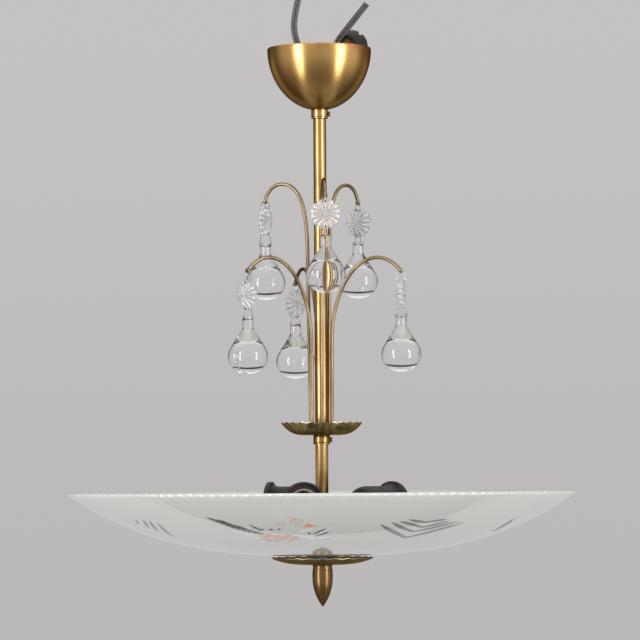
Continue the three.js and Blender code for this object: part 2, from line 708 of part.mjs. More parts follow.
// Lower saucer and the finial that clamps it, on the threaded nipple
const lowerBottomZ = bushBottomZ - gap - saucerThick;
const lowerSaucer = saucer(lowerR, bushTopR, nippleHoleR, lowerBottomZ, lowerDepth, lowerFlute);
place('lower_saucer', lowerSaucer, brass());
const finialTopZ = lowerBottomZ - gap;
const finialShape = [
  [0.96, 0], [0.94, 0.06], [1, 0.24], [0.97, 0.42], [0.87, 0.57], [0.7, 0.71], [0.44, 0.84], [0.19, 0.95],
].map(([share, depth]) => [finialR * share, finialTopZ - finialLength * depth]);
place('finial', turned([
  [0, finialTopZ - finialThread], [nippleHoleR, finialTopZ - finialThread], [nippleHoleR, finialTopZ],
  ...finialShape, [0, finialTopZ - finialLength],
], 20), darkBrass());
const nippleBottomZ = finialTopZ - finialThread + gap;
const nippleTopZ = hubAxisZ - elbowR + elbowWall - gap;
place('threaded_nipple', ring(nippleR - nippleWall, nippleR, nippleBottomZ, nippleTopZ, 20), steel());

// Terminal cap: a hollow domed shell with a block inside, its mouth at the group's origin
const terminal = new THREE.Group();
terminal.position.copy(capPlace);
terminal.rotation.set(0, radians(-capTilt), radians(capTurn), 'ZYX');
light.add(terminal);
const capBulge = [[capR, capDepth * 0.45], [capR * 0.97, capDepth * 0.7], [capR * 0.78, capDepth * 0.9]];
const capInnerR = capMouthR - capWall;
const blockSeat = blockInset + blockThick + gap;
const cap = turned([
  [capMouthR, 0], ...capBulge, [capR * 0.4, capDepth], [0, capDepth], [0, blockSeat + capRecess],
  [capInnerR / 3, blockSeat + capRecess], [capInnerR / 3, blockSeat], [capInnerR, blockSeat],
  [capInnerR, 0], [capMouthR, 0],
], 20);
place('terminal_cap', cap.rotateY(Math.PI / 2), bakelite(), terminal);
const blockR = capInnerR - gap;
const blockBackX = blockInset + blockThick;
const block = turned([[0, blockInset], [blockR, blockInset], [blockR, blockBackX], [0, blockBackX]], 16);
place('terminal_block', block.rotateY(Math.PI / 2), porcelain(), terminal);

// Leads, along routes chosen by hand: two flat twin cords and one single core
function routeCurve(route) {
  return new THREE.CatmullRomCurve3(route.map(([x, y, z]) => new THREE.Vector3(x, y, z)), false, 'centripetal');
}

// The twin section lies with its width across the route's own upright plane
function flatSection() {
  const half = leadWidth / 2 - leadThick / 2;
  const corner = leadThick / 2;
  const bevel = corner * 0.55;
  const section = new THREE.Shape();
  [[half, corner], [half + corner, bevel], [half + corner, -bevel], [half, -corner],
    [-half, -corner], [-half - corner, -bevel], [-half - corner, bevel], [-half, corner]]
    .forEach(([x, y], i) => section[i ? 'lineTo' : 'moveTo'](y, x));
  return section;
}

place('lead_right', alongRoute(flatSection(), routeCurve(leadRightRoute), 14), cordSkin());
place('lead_left', alongRoute(flatSection(), routeCurve(leadLeftRoute), 16), cordSkin());
place('terminal_lead', alongRoute(roundSection(coreR, 8), routeCurve(coreRoute), 20), cordSkin());

export default light;
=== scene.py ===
# %% [markdown]
# # A hanging ceiling light, dressed for its portrait
#
# The real object is a light of brass and glass. A brass stem hangs from a hook hidden in a
# spun cup. Half way down, six bent arms carry pressed rosettes and solid glass drops. At the
# foot, a shallow glass dish hides three lampholders, and a fluted saucer and a bullet-shaped
# finial clamp it from below.
#
# The CAD part gives every shape its place and its size, so this file only adds looks. Each
# cell says what a piece is, how it could be made, and why this way was taken.

import math

import bmesh
import bpy
from mathutils import Euler, Matrix, Quaternion, Vector


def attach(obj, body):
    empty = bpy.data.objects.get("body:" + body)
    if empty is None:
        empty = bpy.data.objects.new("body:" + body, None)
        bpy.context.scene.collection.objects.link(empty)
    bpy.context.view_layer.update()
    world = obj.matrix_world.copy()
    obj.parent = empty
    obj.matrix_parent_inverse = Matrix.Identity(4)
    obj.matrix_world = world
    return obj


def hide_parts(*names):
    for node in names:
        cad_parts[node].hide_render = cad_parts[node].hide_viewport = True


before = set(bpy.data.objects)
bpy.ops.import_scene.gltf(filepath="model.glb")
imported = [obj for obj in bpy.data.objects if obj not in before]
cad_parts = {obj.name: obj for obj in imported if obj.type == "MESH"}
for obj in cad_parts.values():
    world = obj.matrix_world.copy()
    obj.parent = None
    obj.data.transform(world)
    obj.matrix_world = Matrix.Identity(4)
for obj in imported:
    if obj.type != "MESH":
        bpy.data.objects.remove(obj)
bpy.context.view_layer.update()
MM = 0.001

# %% [markdown]
# The photo was taken from far away with a long lens, a finger's breadth above the dish's rim,
# and turned up a little. A camera could be matched by eye, but here it was worked out from
# the stem, the rim and the cup: 3.5 m away, with the horizon three quarters down the frame.

# %% Camera
LENS_MM = 199
SENSOR_MM = 36
CAMERA_PLACE = (0, -3.5, -0.4092)
PITCH_UP, TURN_LEFT, ROLL = 2.51, 0.015, -0.38

camera_data = bpy.data.cameras.new("photo_camera")
camera_data.lens = LENS_MM
camera_data.sensor_width = SENSOR_MM
camera_data.clip_end = 50
camera = bpy.data.objects.new("photo_camera", camera_data)
bpy.context.collection.objects.link(camera)
aim = Euler((math.radians(90 + PITCH_UP), 0, math.radians(TURN_LEFT))).to_quaternion()
camera.rotation_mode = "QUATERNION"
camera.rotation_quaternion = aim @ Quaternion((0, 0, 1), math.radians(ROLL))
camera.location = CAMERA_PLACE
bpy.context.scene.camera = camera
bpy.context.scene.view_settings.view_transform = "Standard"
print("camera looks up by", PITCH_UP, "degrees")

# %% [markdown]
# Most pieces here are either turned on a lathe or drawn as wire. Modifiers such as Screw
# could make them, but plain lists of points are easier to follow and give clean closed
# meshes, so a few small helpers build rows of points and join each row to the next.

# %% Helpers: rows of points, joined into a closed skin
SIDES = 64


def skin(rows, wrap_rows=False):
    """Join rings of points into faces. A row of one point is a tip; open ends get a cap."""
    verts, faces, starts = [], [], []
    for row in rows:
        starts.append(len(verts))
        verts.extend(row)
    pairs = list(zip(range(len(rows)), range(1, len(rows))))
    if wrap_rows:
        pairs.append((len(rows) - 1, 0))
    for low, high in pairs:
        a, b = starts[low], starts[high]
        na, nb = len(rows[low]), len(rows[high])
        for k in range(max(na, nb)):
            n = (k + 1) % max(na, nb)
            corners = [a + k % na, a + n % na, b + n % nb, b + k % nb]
            faces.append(list(dict.fromkeys(corners)))
    if not wrap_rows:
        for start, row in ((starts[0], rows[0]), (starts[-1], rows[-1])):
            if len(row) > 1:
                faces.append([start + k for k in range(len(row))])
    return verts, faces


def turned(profile, sides=SIDES):
    """Turn a profile of (radius, height) in mm round the Z axis."""
    def ring(r, z):
        if r < 1e-6:
            return [(0, 0, z * MM)]
        turns = [2 * math.pi * k / sides for k in range(sides)]
        return [(r * math.cos(t) * MM, r * math.sin(t) * MM, z * MM) for t in turns]

    hollow = profile[0][0] > 1e-6 and profile[-1][0] > 1e-6
    return skin([ring(r, z) for r, z in profile], wrap_rows=hollow)


def eased(profile, radius, steps=3):
    """Round every corner of a profile, as a polished edge is."""
    points = [Vector(p) for p in profile]
    hollow = profile[0][0] > 1e-6 and profile[-1][0] > 1e-6
    out = []
    for i, corner in enumerate(points):
        if not hollow and i in (0, len(points) - 1):
            out.append(tuple(corner))
            continue
        before, after = points[i - 1] - corner, points[(i + 1) % len(points)] - corner
        if before.angle(after) > math.radians(160):
            out.append(tuple(corner))
            continue
        a = corner + before.normalized() * min(radius, before.length * 0.45)
        b = corner + after.normalized() * min(radius, after.length * 0.45)
        for s in range(steps + 1):
            t = s / steps
            out.append(tuple(a * (1 - t) ** 2 + corner * 2 * t * (1 - t) + b * t * t))
    return out


print("lathe work has", SIDES, "sides")

# %% [markdown]
# Arms, links and leads are wires. Blender's own curves could be bevelled, but the twin lead
# isn't round, and the arms are welded and drilled, so here a section is carried along a path
# and gives a closed mesh. It turns no more than the path does, or the wire would look
# twisted.

# %% Helpers: wire, made by carrying a section along a path
def swept(path, section, side=Vector((0, 0, 1)), closed=False):
    """Carry a section of (across, over) points along a path, both in mm, without twisting."""
    path = [Vector(p) for p in path]
    count = len(path)
    rows = []
    for i, point in enumerate(path):
        if closed:
            along = path[(i + 1) % count] - path[i - 1]
        else:
            along = path[min(i + 1, count - 1)] - path[max(i - 1, 0)]
        along.normalize()
        side = (side - along * side.dot(along)).normalized()
        over = along.cross(side)
        rows.append([tuple((point + side * u + over * v) * MM) for u, v in section])
    return skin(rows, wrap_rows=closed)


def circle(radius, sides=16):
    """The section of a round wire."""
    turns = [2 * math.pi * k / sides for k in range(sides)]
    return [(radius * math.cos(t), radius * math.sin(t)) for t in turns]


def moved(shape, matrix):
    """A shape put in its place by a matrix in mm."""
    verts, faces = shape
    place = Matrix.Translation(matrix.translation * MM) @ matrix.to_3x3().to_4x4()
    return [tuple(place @ Vector(v)) for v in verts], faces


print("a round wire's section has", len(circle(1)), "points")

# %% [markdown]
# Lists of points become a mesh whose faces look outwards. Holes and slots are Boolean cuts,
# made once and kept, so no modifier is left on a piece. The last helper gives a piece its
# finish and ties it to the frame: to the body that it rides on, and it hides the CAD node
# that it stands for.

# %% Helpers: objects, cuts and finishes
def as_object(name, shape):
    """Make a mesh object of points in metres and faces, with its faces looking outwards."""
    mesh = bpy.data.meshes.new(name)
    mesh.from_pydata(shape[0], [], shape[1])
    work = bmesh.new()
    work.from_mesh(mesh)
    bmesh.ops.recalc_face_normals(work, faces=work.faces)
    work.to_mesh(mesh)
    work.free()
    thing = bpy.data.objects.new(name, mesh)
    bpy.context.collection.objects.link(thing)
    return thing


def combined(thing, tools, operation="DIFFERENCE"):
    """Cut tools out of a piece, or weld them to it, and keep the result as its mesh."""
    for tool in tools:
        cut = thing.modifiers.new("cut", "BOOLEAN")
        cut.operation, cut.solver, cut.object = operation, "EXACT", tool
    result = thing.evaluated_get(bpy.context.evaluated_depsgraph_get())
    mesh = bpy.data.meshes.new_from_object(result)
    thing.modifiers.clear()
    thing.data = mesh
    for tool in tools:
        bpy.data.objects.remove(tool)
    return thing


def finished(thing, material, body, slot, *nodes, angle=40):
    """Shade a piece, give it its finish, and tie it to the frame."""
    thing.data.name = thing.name
    thing.data.materials.clear()
    thing.data.materials.append(material)
    thing.data.shade_smooth()
    thing.data.set_sharp_from_angle(angle=math.radians(angle))
    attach(thing, body)
    if nodes:
        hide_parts(*nodes)
    return thing


print("helpers ready for shapes, cuts and finishes")

# %% [markdown]
# Real metal, glass and moulded plastic never have one even tone. Three effects come back in
# many finishes here: fine tool lines, soft patches of tarnish or handling, and dust that
# settles on what faces up. Each could be painted into every material by hand. A node group
# per effect, with its own inputs, keeps them alike and easy to tune.

# %% Helpers: a new node group, and nodes filled in one call
def new_group(name, inputs, outputs):
    """A node group with named sockets, and its input and output nodes."""
    group = bpy.data.node_groups.new(name, "ShaderNodeTree")
    for label, kind, value in inputs:
        socket = group.interface.new_socket(label, in_out="INPUT", socket_type=kind)
        socket.default_value = value
    for label, kind in outputs:
        group.interface.new_socket(label, in_out="OUTPUT", socket_type=kind)
    return group, group.nodes.new("NodeGroupInput"), group.nodes.new("NodeGroupOutput")


def add(tree, kind, settings=None, **inputs):
    """Add a node, set its properties, and fill its inputs with values or links."""
    node = tree.nodes.new(kind)
    for key, value in (settings or {}).items():
        setattr(node, key, value)
    for key, value in inputs.items():
        label = key.replace("_", " ").strip()
        socket = node.inputs[int(label)] if label.isdigit() else node.inputs[label]
        if isinstance(value, bpy.types.NodeSocket):
            tree.links.new(value, socket)
        else:
            socket.default_value = value
    return node


FLOAT = "NodeSocketFloat"
print("group sockets are of the kind", FLOAT)

# %% Node group: tool lines
lines_group, given, result = new_group(
    "tool lines",
    [("Across", FLOAT, 100.0), ("Along Z", FLOAT, 3000.0)],
    [("Line", FLOAT)],
)
place = add(lines_group, "ShaderNodeTexCoord").outputs["Object"]
stretch = add(lines_group, "ShaderNodeCombineXYZ",
              X=given.outputs["Across"], Y=given.outputs["Across"], Z=given.outputs["Along Z"])
scaled = add(lines_group, "ShaderNodeVectorMath", {"operation": "MULTIPLY"},
             _0=place, _1=stretch.outputs[0])
noise = add(lines_group, "ShaderNodeTexNoise", Vector=scaled.outputs[0], Scale=1.0, Detail=3.0,
            Roughness=0.6)
lines_group.links.new(noise.outputs["Fac"], result.inputs["Line"])
print("made:", lines_group.name)

# %% Node group: soft patches
patch_group, given, result = new_group(
    "soft patches",
    [("Scale", FLOAT, 60.0), ("From", FLOAT, 0.45), ("To", FLOAT, 0.65)],
    [("Patch", FLOAT)],
)
place = add(patch_group, "ShaderNodeTexCoord").outputs["Object"]
noise = add(patch_group, "ShaderNodeTexNoise", Vector=place, Scale=given.outputs["Scale"],
            Detail=5.0, Roughness=0.55, Distortion=0.4)
band = add(patch_group, "ShaderNodeMapRange", {"interpolation_type": "SMOOTHSTEP"},
           Value=noise.outputs["Fac"], From_Min=given.outputs["From"],
           From_Max=given.outputs["To"])
patch_group.links.new(band.outputs[0], result.inputs["Patch"])
print("made:", patch_group.name)

# %% Node group: settled dust
dust_group, given, result = new_group(
    "settled dust",
    [("Amount", FLOAT, 0.3), ("Scale", FLOAT, 400.0)],
    [("Dust", FLOAT)],
)
facing = add(dust_group, "ShaderNodeNewGeometry").outputs["Normal"]
height = add(dust_group, "ShaderNodeSeparateXYZ", Vector=facing).outputs["Z"]
upward = add(dust_group, "ShaderNodeMapRange", Value=height, From_Min=0.35, From_Max=1.0)
place = add(dust_group, "ShaderNodeTexCoord").outputs["Object"]
specks = add(dust_group, "ShaderNodeTexNoise", Vector=place, Scale=given.outputs["Scale"],
             Detail=4.0)
broken = add(dust_group, "ShaderNodeMath", {"operation": "MULTIPLY"},
             _0=upward.outputs[0], _1=specks.outputs["Fac"])
share = add(dust_group, "ShaderNodeMath", {"operation": "MULTIPLY"},
            _0=broken.outputs[0], _1=given.outputs["Amount"])
dust_group.links.new(share.outputs[0], result.inputs["Dust"])
print("node groups:", [group.name for group in bpy.data.node_groups])

# %% [markdown]
# Each finish is the Principled shader with a few masks wired to its colour, roughness and
# bump. The nodes could be added one by one, but these helpers keep a finish to a few lines,
# in which the numbers that matter can be seen and tuned.

# %% Helpers: masks, blends and bumps in a material
def effect(tree, group, **inputs):
    """Place a node group in a material and give back its mask."""
    return add(tree, "ShaderNodeGroup", {"node_tree": group}, **inputs).outputs[0]


def mixed(tree, share, first, second):
    """Blend two colours by a mask."""
    blend = tree.nodes.new("ShaderNodeMix")
    blend.data_type = "RGBA"
    for socket, value in zip((blend.inputs[0], blend.inputs[6], blend.inputs[7]),
                             (share, first, second)):
        if isinstance(value, bpy.types.NodeSocket):
            tree.links.new(value, socket)
        else:
            socket.default_value = value
    return blend.outputs[2]


def spread(tree, value, low, high):
    """Map a mask between 0 and 1 to a range."""
    return add(tree, "ShaderNodeMapRange", Value=value, To_Min=low, To_Max=high).outputs[0]


def bumped(tree, height, distance, strength=1.0):
    """A normal from a mask of heights; the distance is in metres."""
    return add(tree, "ShaderNodeBump", Height=height, Distance=distance,
               Strength=strength).outputs[0]


def new_material(name, **settings):
    """A material whose shader has the given plain values."""
    material = bpy.data.materials.new(name)
    material.use_nodes = True
    shader = material.node_tree.nodes["Principled BSDF"]
    for key, value in settings.items():
        shader.inputs[key.replace("_", " ")].default_value = value
    return material, material.node_tree, shader


def wired(tree, shader, **sources):
    """Link what varies over the surface to the shader's sockets."""
    for key, source in sources.items():
        tree.links.new(source, shader.inputs[key.replace("_", " ")])


print("helpers ready for materials")

# %% [markdown]
# The two leads are flat twin cord with a smooth grey sheath: two round cores side by side
# with a web between. They come up out of the stem, and one shows its cut end. A bevelled
# curve would give a round cord, so the section of the twin is carried along the route
# instead. The route is the CAD part's own, through which a smooth line is drawn.

# %% Finishes: grey cord sheath and copper
sheath, tree, shader = new_material("grey_sheath", IOR=1.65)
marks = effect(tree, patch_group, Scale=300.0, From=0.35, To=0.7)
wired(tree, shader,
      Base_Color=mixed(tree, marks, (0.075, 0.073, 0.074, 1), (0.045, 0.044, 0.045, 1)),
      Roughness=spread(tree, marks, 0.25, 0.35),
      Normal=bumped(tree, marks, 0.00003, 0.4))

copper, tree, shader = new_material("copper", Metallic=1.0)
marks = effect(tree, patch_group, Scale=900.0, From=0.3, To=0.7)
wired(tree, shader,
      Base_Color=mixed(tree, marks, (0.75, 0.36, 0.2, 1), (0.38, 0.18, 0.1, 1)),
      Roughness=spread(tree, marks, 0.25, 0.45))
print("finishes:", sheath.name, copper.name)

# %% Leads: routes in mm, repeated from the part
LEAD_THICK = 3.0
LEAD_WIDTH = 6.2
CORE_R = 0.7
STEM_TOP_Z = -37.1
RIGHT_ROUTE = [
    (0, -1.65, -46), (0, -1.65, -37), (1.2, -1.8, -30), (4.2, -2.1, -22), (7.8, -2.6, -14),
    (10.6, -3.2, -6), (12.6, -4, 1), (14.8, -5.4, 10.5), (18.4, -7, 20.3), (25, -8.4, 29.3),
    (32.5, -9.2, 38.6), (40, -9.7, 47.9), (47.5, -10, 57.2),
]
LEFT_ROUTE = [
    (0, 1.65, -46), (0, 1.65, -37), (-1.2, 1.65, -30), (-4.2, 1.65, -22), (-8.2, 1.65, -13),
    (-12, 1.65, -4), (-15.6, 1.65, 5), (-19, 1.65, 13.5), (-21.7, 1.65, 20.3),
    (-23.9, 1.65, 28), (-24.8, 1.65, 36.5), (-24, 1.65, 46.5), (-22.2, 1.65, 56),
    (-20.2, 1.65, 65), (-17.3, 1.65, 76), (-13.5, 1.65, 88),
]
CORE_ROUTE = [
    (4.3, 0, -46), (4.3, 0, -37), (5.7, -4.5, -30), (9, -8.4, -22), (14, -13, -13),
    (17.6, -15.4, -6), (19.5, -14.5, 2), (21.3, -10.5, 8.2), (24.2, -4.5, 11.4),
    (27.4, 1.4, 13.9), (30.2, 6.27, 15.93),
]


def smooth_line(route, steps=4):
    """Draw a centripetal spline through a route, as the part does."""
    pts = [Vector(p) for p in route]
    pts = [pts[0] * 2 - pts[1], *pts, pts[-1] * 2 - pts[-2]]
    line = []
    for p0, p1, p2, p3 in zip(pts, pts[1:], pts[2:], pts[3:]):
        d0, d1, d2 = (math.sqrt((b - a).length) for a, b in ((p0, p1), (p1, p2), (p2, p3)))
        m1 = (p1 - p0) / d0 - (p2 - p0) / (d0 + d1) + (p2 - p1) / d1
        m2 = (p2 - p1) / d1 - (p3 - p1) / (d1 + d2) + (p3 - p2) / d2
        m1, m2 = m1 * d1, m2 * d1
        for s in range(steps):
            t = s / steps
            line.append(p1 * (2 * t ** 3 - 3 * t * t + 1) + m1 * (t ** 3 - 2 * t * t + t)
                        + p2 * (3 * t * t - 2 * t ** 3) + m2 * (t ** 3 - t * t))
    return [*line, pts[-2]]


def twin_section():
    """Two round cores and the web between them."""
    half, r = (LEAD_WIDTH - LEAD_THICK) / 2, LEAD_THICK / 2
    waist = math.radians(26)
    lobe = [waist + (2 * math.pi - 2 * waist) * k / 14 for k in range(15)]
    left = [(-half + r * math.cos(t), r * math.sin(t)) for t in lobe]
    return left + [(-x, -y) for x, y in left]


for name, route in (("lead_right", RIGHT_ROUTE), ("lead_left", LEFT_ROUTE)):
    line = smooth_line(route)
    cord = as_object(f"{name}_cord", swept(line, twin_section(), Vector((1, 0, 0))))
    finished(cord, sheath, "stem", "grey_cord", name)
    along = (line[-1] - line[-2]).normalized()
    sideways = Vector((0, 1, 0)).cross(along).normalized()
    ends = []
    for label, sign in (("a", -1), ("b", 1)):
        core = line[-1] + sideways * sign * (LEAD_WIDTH - LEAD_THICK) / 2
        rod = [core - along * 2, core + along * 0.1, core + along * 0.25]
        end = as_object(f"{name}_core_{label}", swept(rod, circle(CORE_R, 12)))
        ends.append(finished(end, copper, "stem", "grey_cord"))

# %% [markdown]
# The brass is lacquered and has aged: warm gold where it was rubbed, olive and brown in the
# hollows, and a painted shade turns it browner where it looks down. The cup was spun, so fine
# rings run round it, and they draw its highlights out into upright bands. An anisotropic shine
# does that, turned a quarter so that it stretches across the rings. The colour patches and the
# fine lines come from the node groups. How dark the metal turns at a low angle is left to the
# shader's own tint, which is a property of the metal and not paint.

# %% Finishes: seven kinds of brass
# Painted shade: the brown that the brass is mixed towards where it faces down
PAINTED_UNDERSIDE_SHADE = (0.16, 0.09, 0.035, 1)
METAL_DUST = (0.5, 0.48, 0.43, 1)


def brass(name, light, dark, rough, lines_at, patch_scale, relief=0.000004, uneven=0.12,
          dusty=0.0, below=0.0, metal=1.0, edge=(0.25, 0.18, 0.11, 1), **shine):
    """Aged brass: two tones in patches, fine lines, and a painted shade, browner where it looks
    down.
    """
    material, tree, shader = new_material(name, Metallic=metal, Specular_Tint=edge, **shine)
    tarnish = effect(tree, patch_group, Scale=patch_scale, From=0.38, To=0.68)
    lines = effect(tree, lines_group, Across=lines_at[0], Along_Z=lines_at[1])
    fine = spread(tree, lines, 1 - uneven, 1 + uneven / 2)
    colour = mixed(tree, tarnish, light, dark)
    lined = add(tree, "ShaderNodeVectorMath", {"operation": "SCALE"}, Vector=colour,
                Scale=fine).outputs[0]
    # Painted shade: the colour is mixed towards a darker brown where the surface faces down
    facing = add(tree, "ShaderNodeNewGeometry").outputs["Normal"]
    height = add(tree, "ShaderNodeSeparateXYZ", Vector=facing).outputs["Z"]
    under = add(tree, "ShaderNodeMapRange", Value=height, From_Min=-0.25, From_Max=-0.8,
                To_Min=0.0, To_Max=below).outputs[0]
    shaded_below = mixed(tree, under, lined, PAINTED_UNDERSIDE_SHADE)
    settled = effect(tree, dust_group, Amount=dusty)
    worn = add(tree, "ShaderNodeMath", {"operation": "MULTIPLY_ADD"},
               _0=lines, _1=0.4, _2=spread(tree, tarnish, 0.0, 0.6)).outputs[0]
    wired(tree, shader,
          Base_Color=mixed(tree, settled, shaded_below, METAL_DUST),
          Roughness=spread(tree, worn, *rough),
          Normal=bumped(tree, lines, relief, 0.6))
    return material


# The cup gets the painted underside shade at half strength
spun_brass = brass("spun_brass", (0.80, 0.50, 0.165, 1), (0.66, 0.32, 0.12, 1), (0.28, 0.42),
                   (60.0, 5000.0), 30.0, 0.00001, uneven=0.2, below=0.5,
                   edge=(0.06, 0.07, 0.08, 1), Anisotropic=0.75, Anisotropic_Rotation=0.25,
                   Coat_Weight=0.16, Coat_Roughness=0.14)
tube_brass = brass("tube_brass", (0.62, 0.40, 0.16, 1), (0.45, 0.26, 0.09, 1), (0.28, 0.31),
                   (1200.0, 20.0), 30.0, 0.0000003, uneven=0.03, edge=(0.08, 0.03, 0.01, 1),
                   Coat_Weight=0.12, Coat_Roughness=0.2)
arm_brass = brass("arm_brass", (0.35, 0.26, 0.145, 1), (0.25, 0.175, 0.09, 1), (0.28, 0.34),
                  (60.0, 60.0), 40.0, 0.0000005, uneven=0.05, edge=(0.05, 0.03, 0.02, 1),
                  Coat_Weight=0.2, Coat_Roughness=0.2)
pressed_brass = brass("pressed_brass", (0.44, 0.36, 0.19, 1), (0.25, 0.19, 0.09, 1),
                      (0.27, 0.4), (900.0, 900.0), 70.0, 0.00001, dusty=0.08)
dull_brass = brass("dull_brass", (0.46, 0.37, 0.23, 1), (0.33, 0.26, 0.15, 1), (0.42, 0.55),
                   (900.0, 900.0), 70.0, 0.00001, dusty=0.08)
# Partly painted shade: a darker copy of the stem's brass, for the collar that sits under the upper
# saucer
shaded_collar_brass = brass("shaded_collar_brass", (0.46, 0.29, 0.11, 1), (0.34, 0.19, 0.06, 1), (0.2, 0.28),
                     (80.0, 400.0), 60.0, 0.000001, uneven=0.05, edge=(0.08, 0.03, 0.01, 1))
dark_brass = brass("dark_brass", (0.235, 0.135, 0.052, 1), (0.17, 0.095, 0.036, 1), (0.24, 0.3),
                   (80.0, 400.0), 60.0, 0.0000005, uneven=0.05, metal=0.7,
                   edge=(0.1, 0.06, 0.03, 1), Coat_Weight=0.12, Coat_Roughness=0.12)
BRASSES = (spun_brass, tube_brass, arm_brass, pressed_brass, dull_brass, shaded_collar_brass,
           dark_brass)
print("brass finishes:", [material.name for material in BRASSES])

# %% [markdown]
# The ceiling cup is half of a spun ellipsoid with a thin, open rim. It could be a scaled
# sphere cut in half, but a turned profile gives the wall its thickness, and the small flat
# round the stem's hole that the spinning tool leaves.

# %% Ceiling cup
STEM_R = 6.35
HOLE_R = 6.65
CUP_R, CUP_DEPTH, CUP_WALL, CUP_RIM_Z = 51.6, 61.5, 1.0, 14.0
CUP_FLAT_R = HOLE_R + 3


def ellipse_side(radius, depth, steps=40):
    """Half of an ellipse's outline, from the flat at its foot up to the rim."""
    start = math.asin(CUP_FLAT_R / radius)
    turns = [start + (math.pi / 2 - start) * k / steps for k in range(steps + 1)]
    return [(radius * math.sin(t), CUP_RIM_Z - depth * math.cos(t)) for t in turns]


outside = ellipse_side(CUP_R, CUP_DEPTH)
inside = ellipse_side(CUP_R - CUP_WALL, CUP_DEPTH - CUP_WALL)[::-1]
rim = [(CUP_R - inset, CUP_RIM_Z - drop) for inset, drop in
       ((0, 2.2), (0.08, 1.4), (0.22, 0.7), (0.42, 0.2), (0.6, 0), (CUP_WALL - 0.1, 0))]
cup_profile = [(HOLE_R, outside[0][1]), *outside[:-1], *rim,
               (CUP_R - CUP_WALL, CUP_RIM_Z - 0.3), *inside[1:], (HOLE_R, inside[-1][1])]
cup = as_object("cup_shell", turned(cup_profile, 128))
finished(cup, spun_brass, "cup", "aged_brass", "ceiling_cup")
CUP_BOTTOM_Z = outside[0][1]
print("cup reaches down to", round(CUP_BOTTOM_Z, 1), "mm")

# %% [markdown]
# Under the cup and under the upper saucer sits a collar with one slotted set screw, which
# holds the piece above it at its height on the stem. The collar is a turned ring with eased
# edges and a fine groove. The screw's slot is cut with a Boolean, since a slot is the one
# feature that a lathe can't make.

# %% Collars and set screws
COLLAR_R, COLLAR_HEIGHT, COLLAR_GROOVE = 8.25, 9.0, 0.3
SCREW_R, SCREW_X, SCREW_HEAD_R, SCREW_HEAD_HEIGHT = 1.5, 8.55, 2.6, 2.2
SLOT_DEPTH, SLOT_HALF = 1.1, 0.4


def make_collar(name, top_z, body, node, finish):
    """A grooved ring round the stem; gives back the height of its middle."""
    low, high = top_z - COLLAR_HEIGHT, top_z
    sunk = COLLAR_R - COLLAR_GROOVE
    groove = [(COLLAR_R, low + 1.3), (sunk, low + 1.5), (sunk, low + 1.8), (COLLAR_R, low + 2)]
    profile = [(HOLE_R, low), (COLLAR_R, low), *groove, (COLLAR_R, high), (HOLE_R, high)]
    ring = as_object(name, turned(eased(profile, 0.25, 2)))
    finished(ring, finish, body, "aged_brass", node)
    return (low + high) / 2


def make_screw(name, middle_z, body, node):
    """A slotted screw that points at the stem from the right."""
    lay = Matrix.Translation((0, 0, middle_z)) @ Matrix.Rotation(math.pi / 2, 4, "Y")
    head_top = SCREW_X + SCREW_HEAD_HEIGHT
    profile = [(0, HOLE_R), (SCREW_R, HOLE_R), (SCREW_R, SCREW_X), (SCREW_HEAD_R - 0.2, SCREW_X),
               (SCREW_HEAD_R, SCREW_X + 0.2), (SCREW_HEAD_R, head_top - 0.7),
               (SCREW_HEAD_R - 0.25, head_top - 0.3), (1.6, head_top - 0.05), (0, head_top)]
    screw = as_object(name, moved(turned(profile, 32), lay))
    slot = [(head_top - SLOT_DEPTH, 0, 0), (head_top + 1, 0, 0)]
    bar = [(-SLOT_HALF, -4), (SLOT_HALF, -4), (SLOT_HALF, 4), (-SLOT_HALF, 4)]
    at_screw = Matrix.Translation((0, 0, middle_z))
    cutter = as_object("slot_cutter", moved(swept(slot, bar), at_screw))
    finished(combined(screw, [cutter]), dark_brass, body, "aged_brass", node)


middle = make_collar("cup_collar_ring", CUP_BOTTOM_Z - 0.3, "cup", "cup_collar", tube_brass)
make_screw("cup_set_screw", middle, "cup_screw", "cup_screw")
SPRAY_BOTTOM_Z = -369.6
# The lower collar gets the darker brass, a painted shade for the saucer above it
middle = make_collar("spray_collar_ring", SPRAY_BOTTOM_Z - 0.3, "spray_collar", "spray_collar",
                     shaded_collar_brass)
make_screw("spray_set_screw", middle, "spray_screw", "spray_screw")
print("set screws sit at x", SCREW_X, "mm")

# %% [markdown]
# The stem is a drawn brass tube of 12.7 mm, polished along its length. It is open at both
# ends, so it is turned as a thin wall and not as a rod.

# %% Stem tube
STEM_BOTTOM_Z, STEM_WALL = -434.7, 1.0
STEM_BORE_R = STEM_R - STEM_WALL
wall = [(STEM_BORE_R, STEM_BOTTOM_Z), (STEM_R, STEM_BOTTOM_Z), (STEM_R, STEM_TOP_Z),
        (STEM_BORE_R, STEM_TOP_Z)]
stem = as_object("stem_drawn_tube", turned(eased(wall, 0.2, 2)))
finished(stem, tube_brass, "stem", "aged_brass", "stem_tube")
print("stem is", round(STEM_TOP_Z - STEM_BOTTOM_Z, 1), "mm long")

# %% [markdown]
# Inside the cup, a steel strap is bent over the end of the stem, and the ceiling hook goes
# through it. It is hidden from the front but shows from above, so it gets its real form: a
# ring that grips the tube, and a strap with softened edges.

# %% Finishes: dull steel and dark wire
steel, tree, shader = new_material("dull_steel", Metallic=1.0)
marks = effect(tree, patch_group, Scale=250.0, From=0.4, To=0.65)
wired(tree, shader,
      Base_Color=mixed(tree, marks, (0.42, 0.41, 0.40, 1), (0.24, 0.22, 0.2, 1)),
      Roughness=spread(tree, marks, 0.25, 0.5),
      Normal=bumped(tree, marks, 0.00005, 0.4))

dark_wire, tree, shader = new_material("dark_wire", Metallic=1.0)
marks = effect(tree, patch_group, Scale=600.0, From=0.4, To=0.65)
wired(tree, shader,
      Base_Color=mixed(tree, marks, (0.42, 0.40, 0.37, 1), (0.24, 0.22, 0.20, 1)),
      Roughness=spread(tree, marks, 0.3, 0.5))
print("finishes:", steel.name, dark_wire.name)

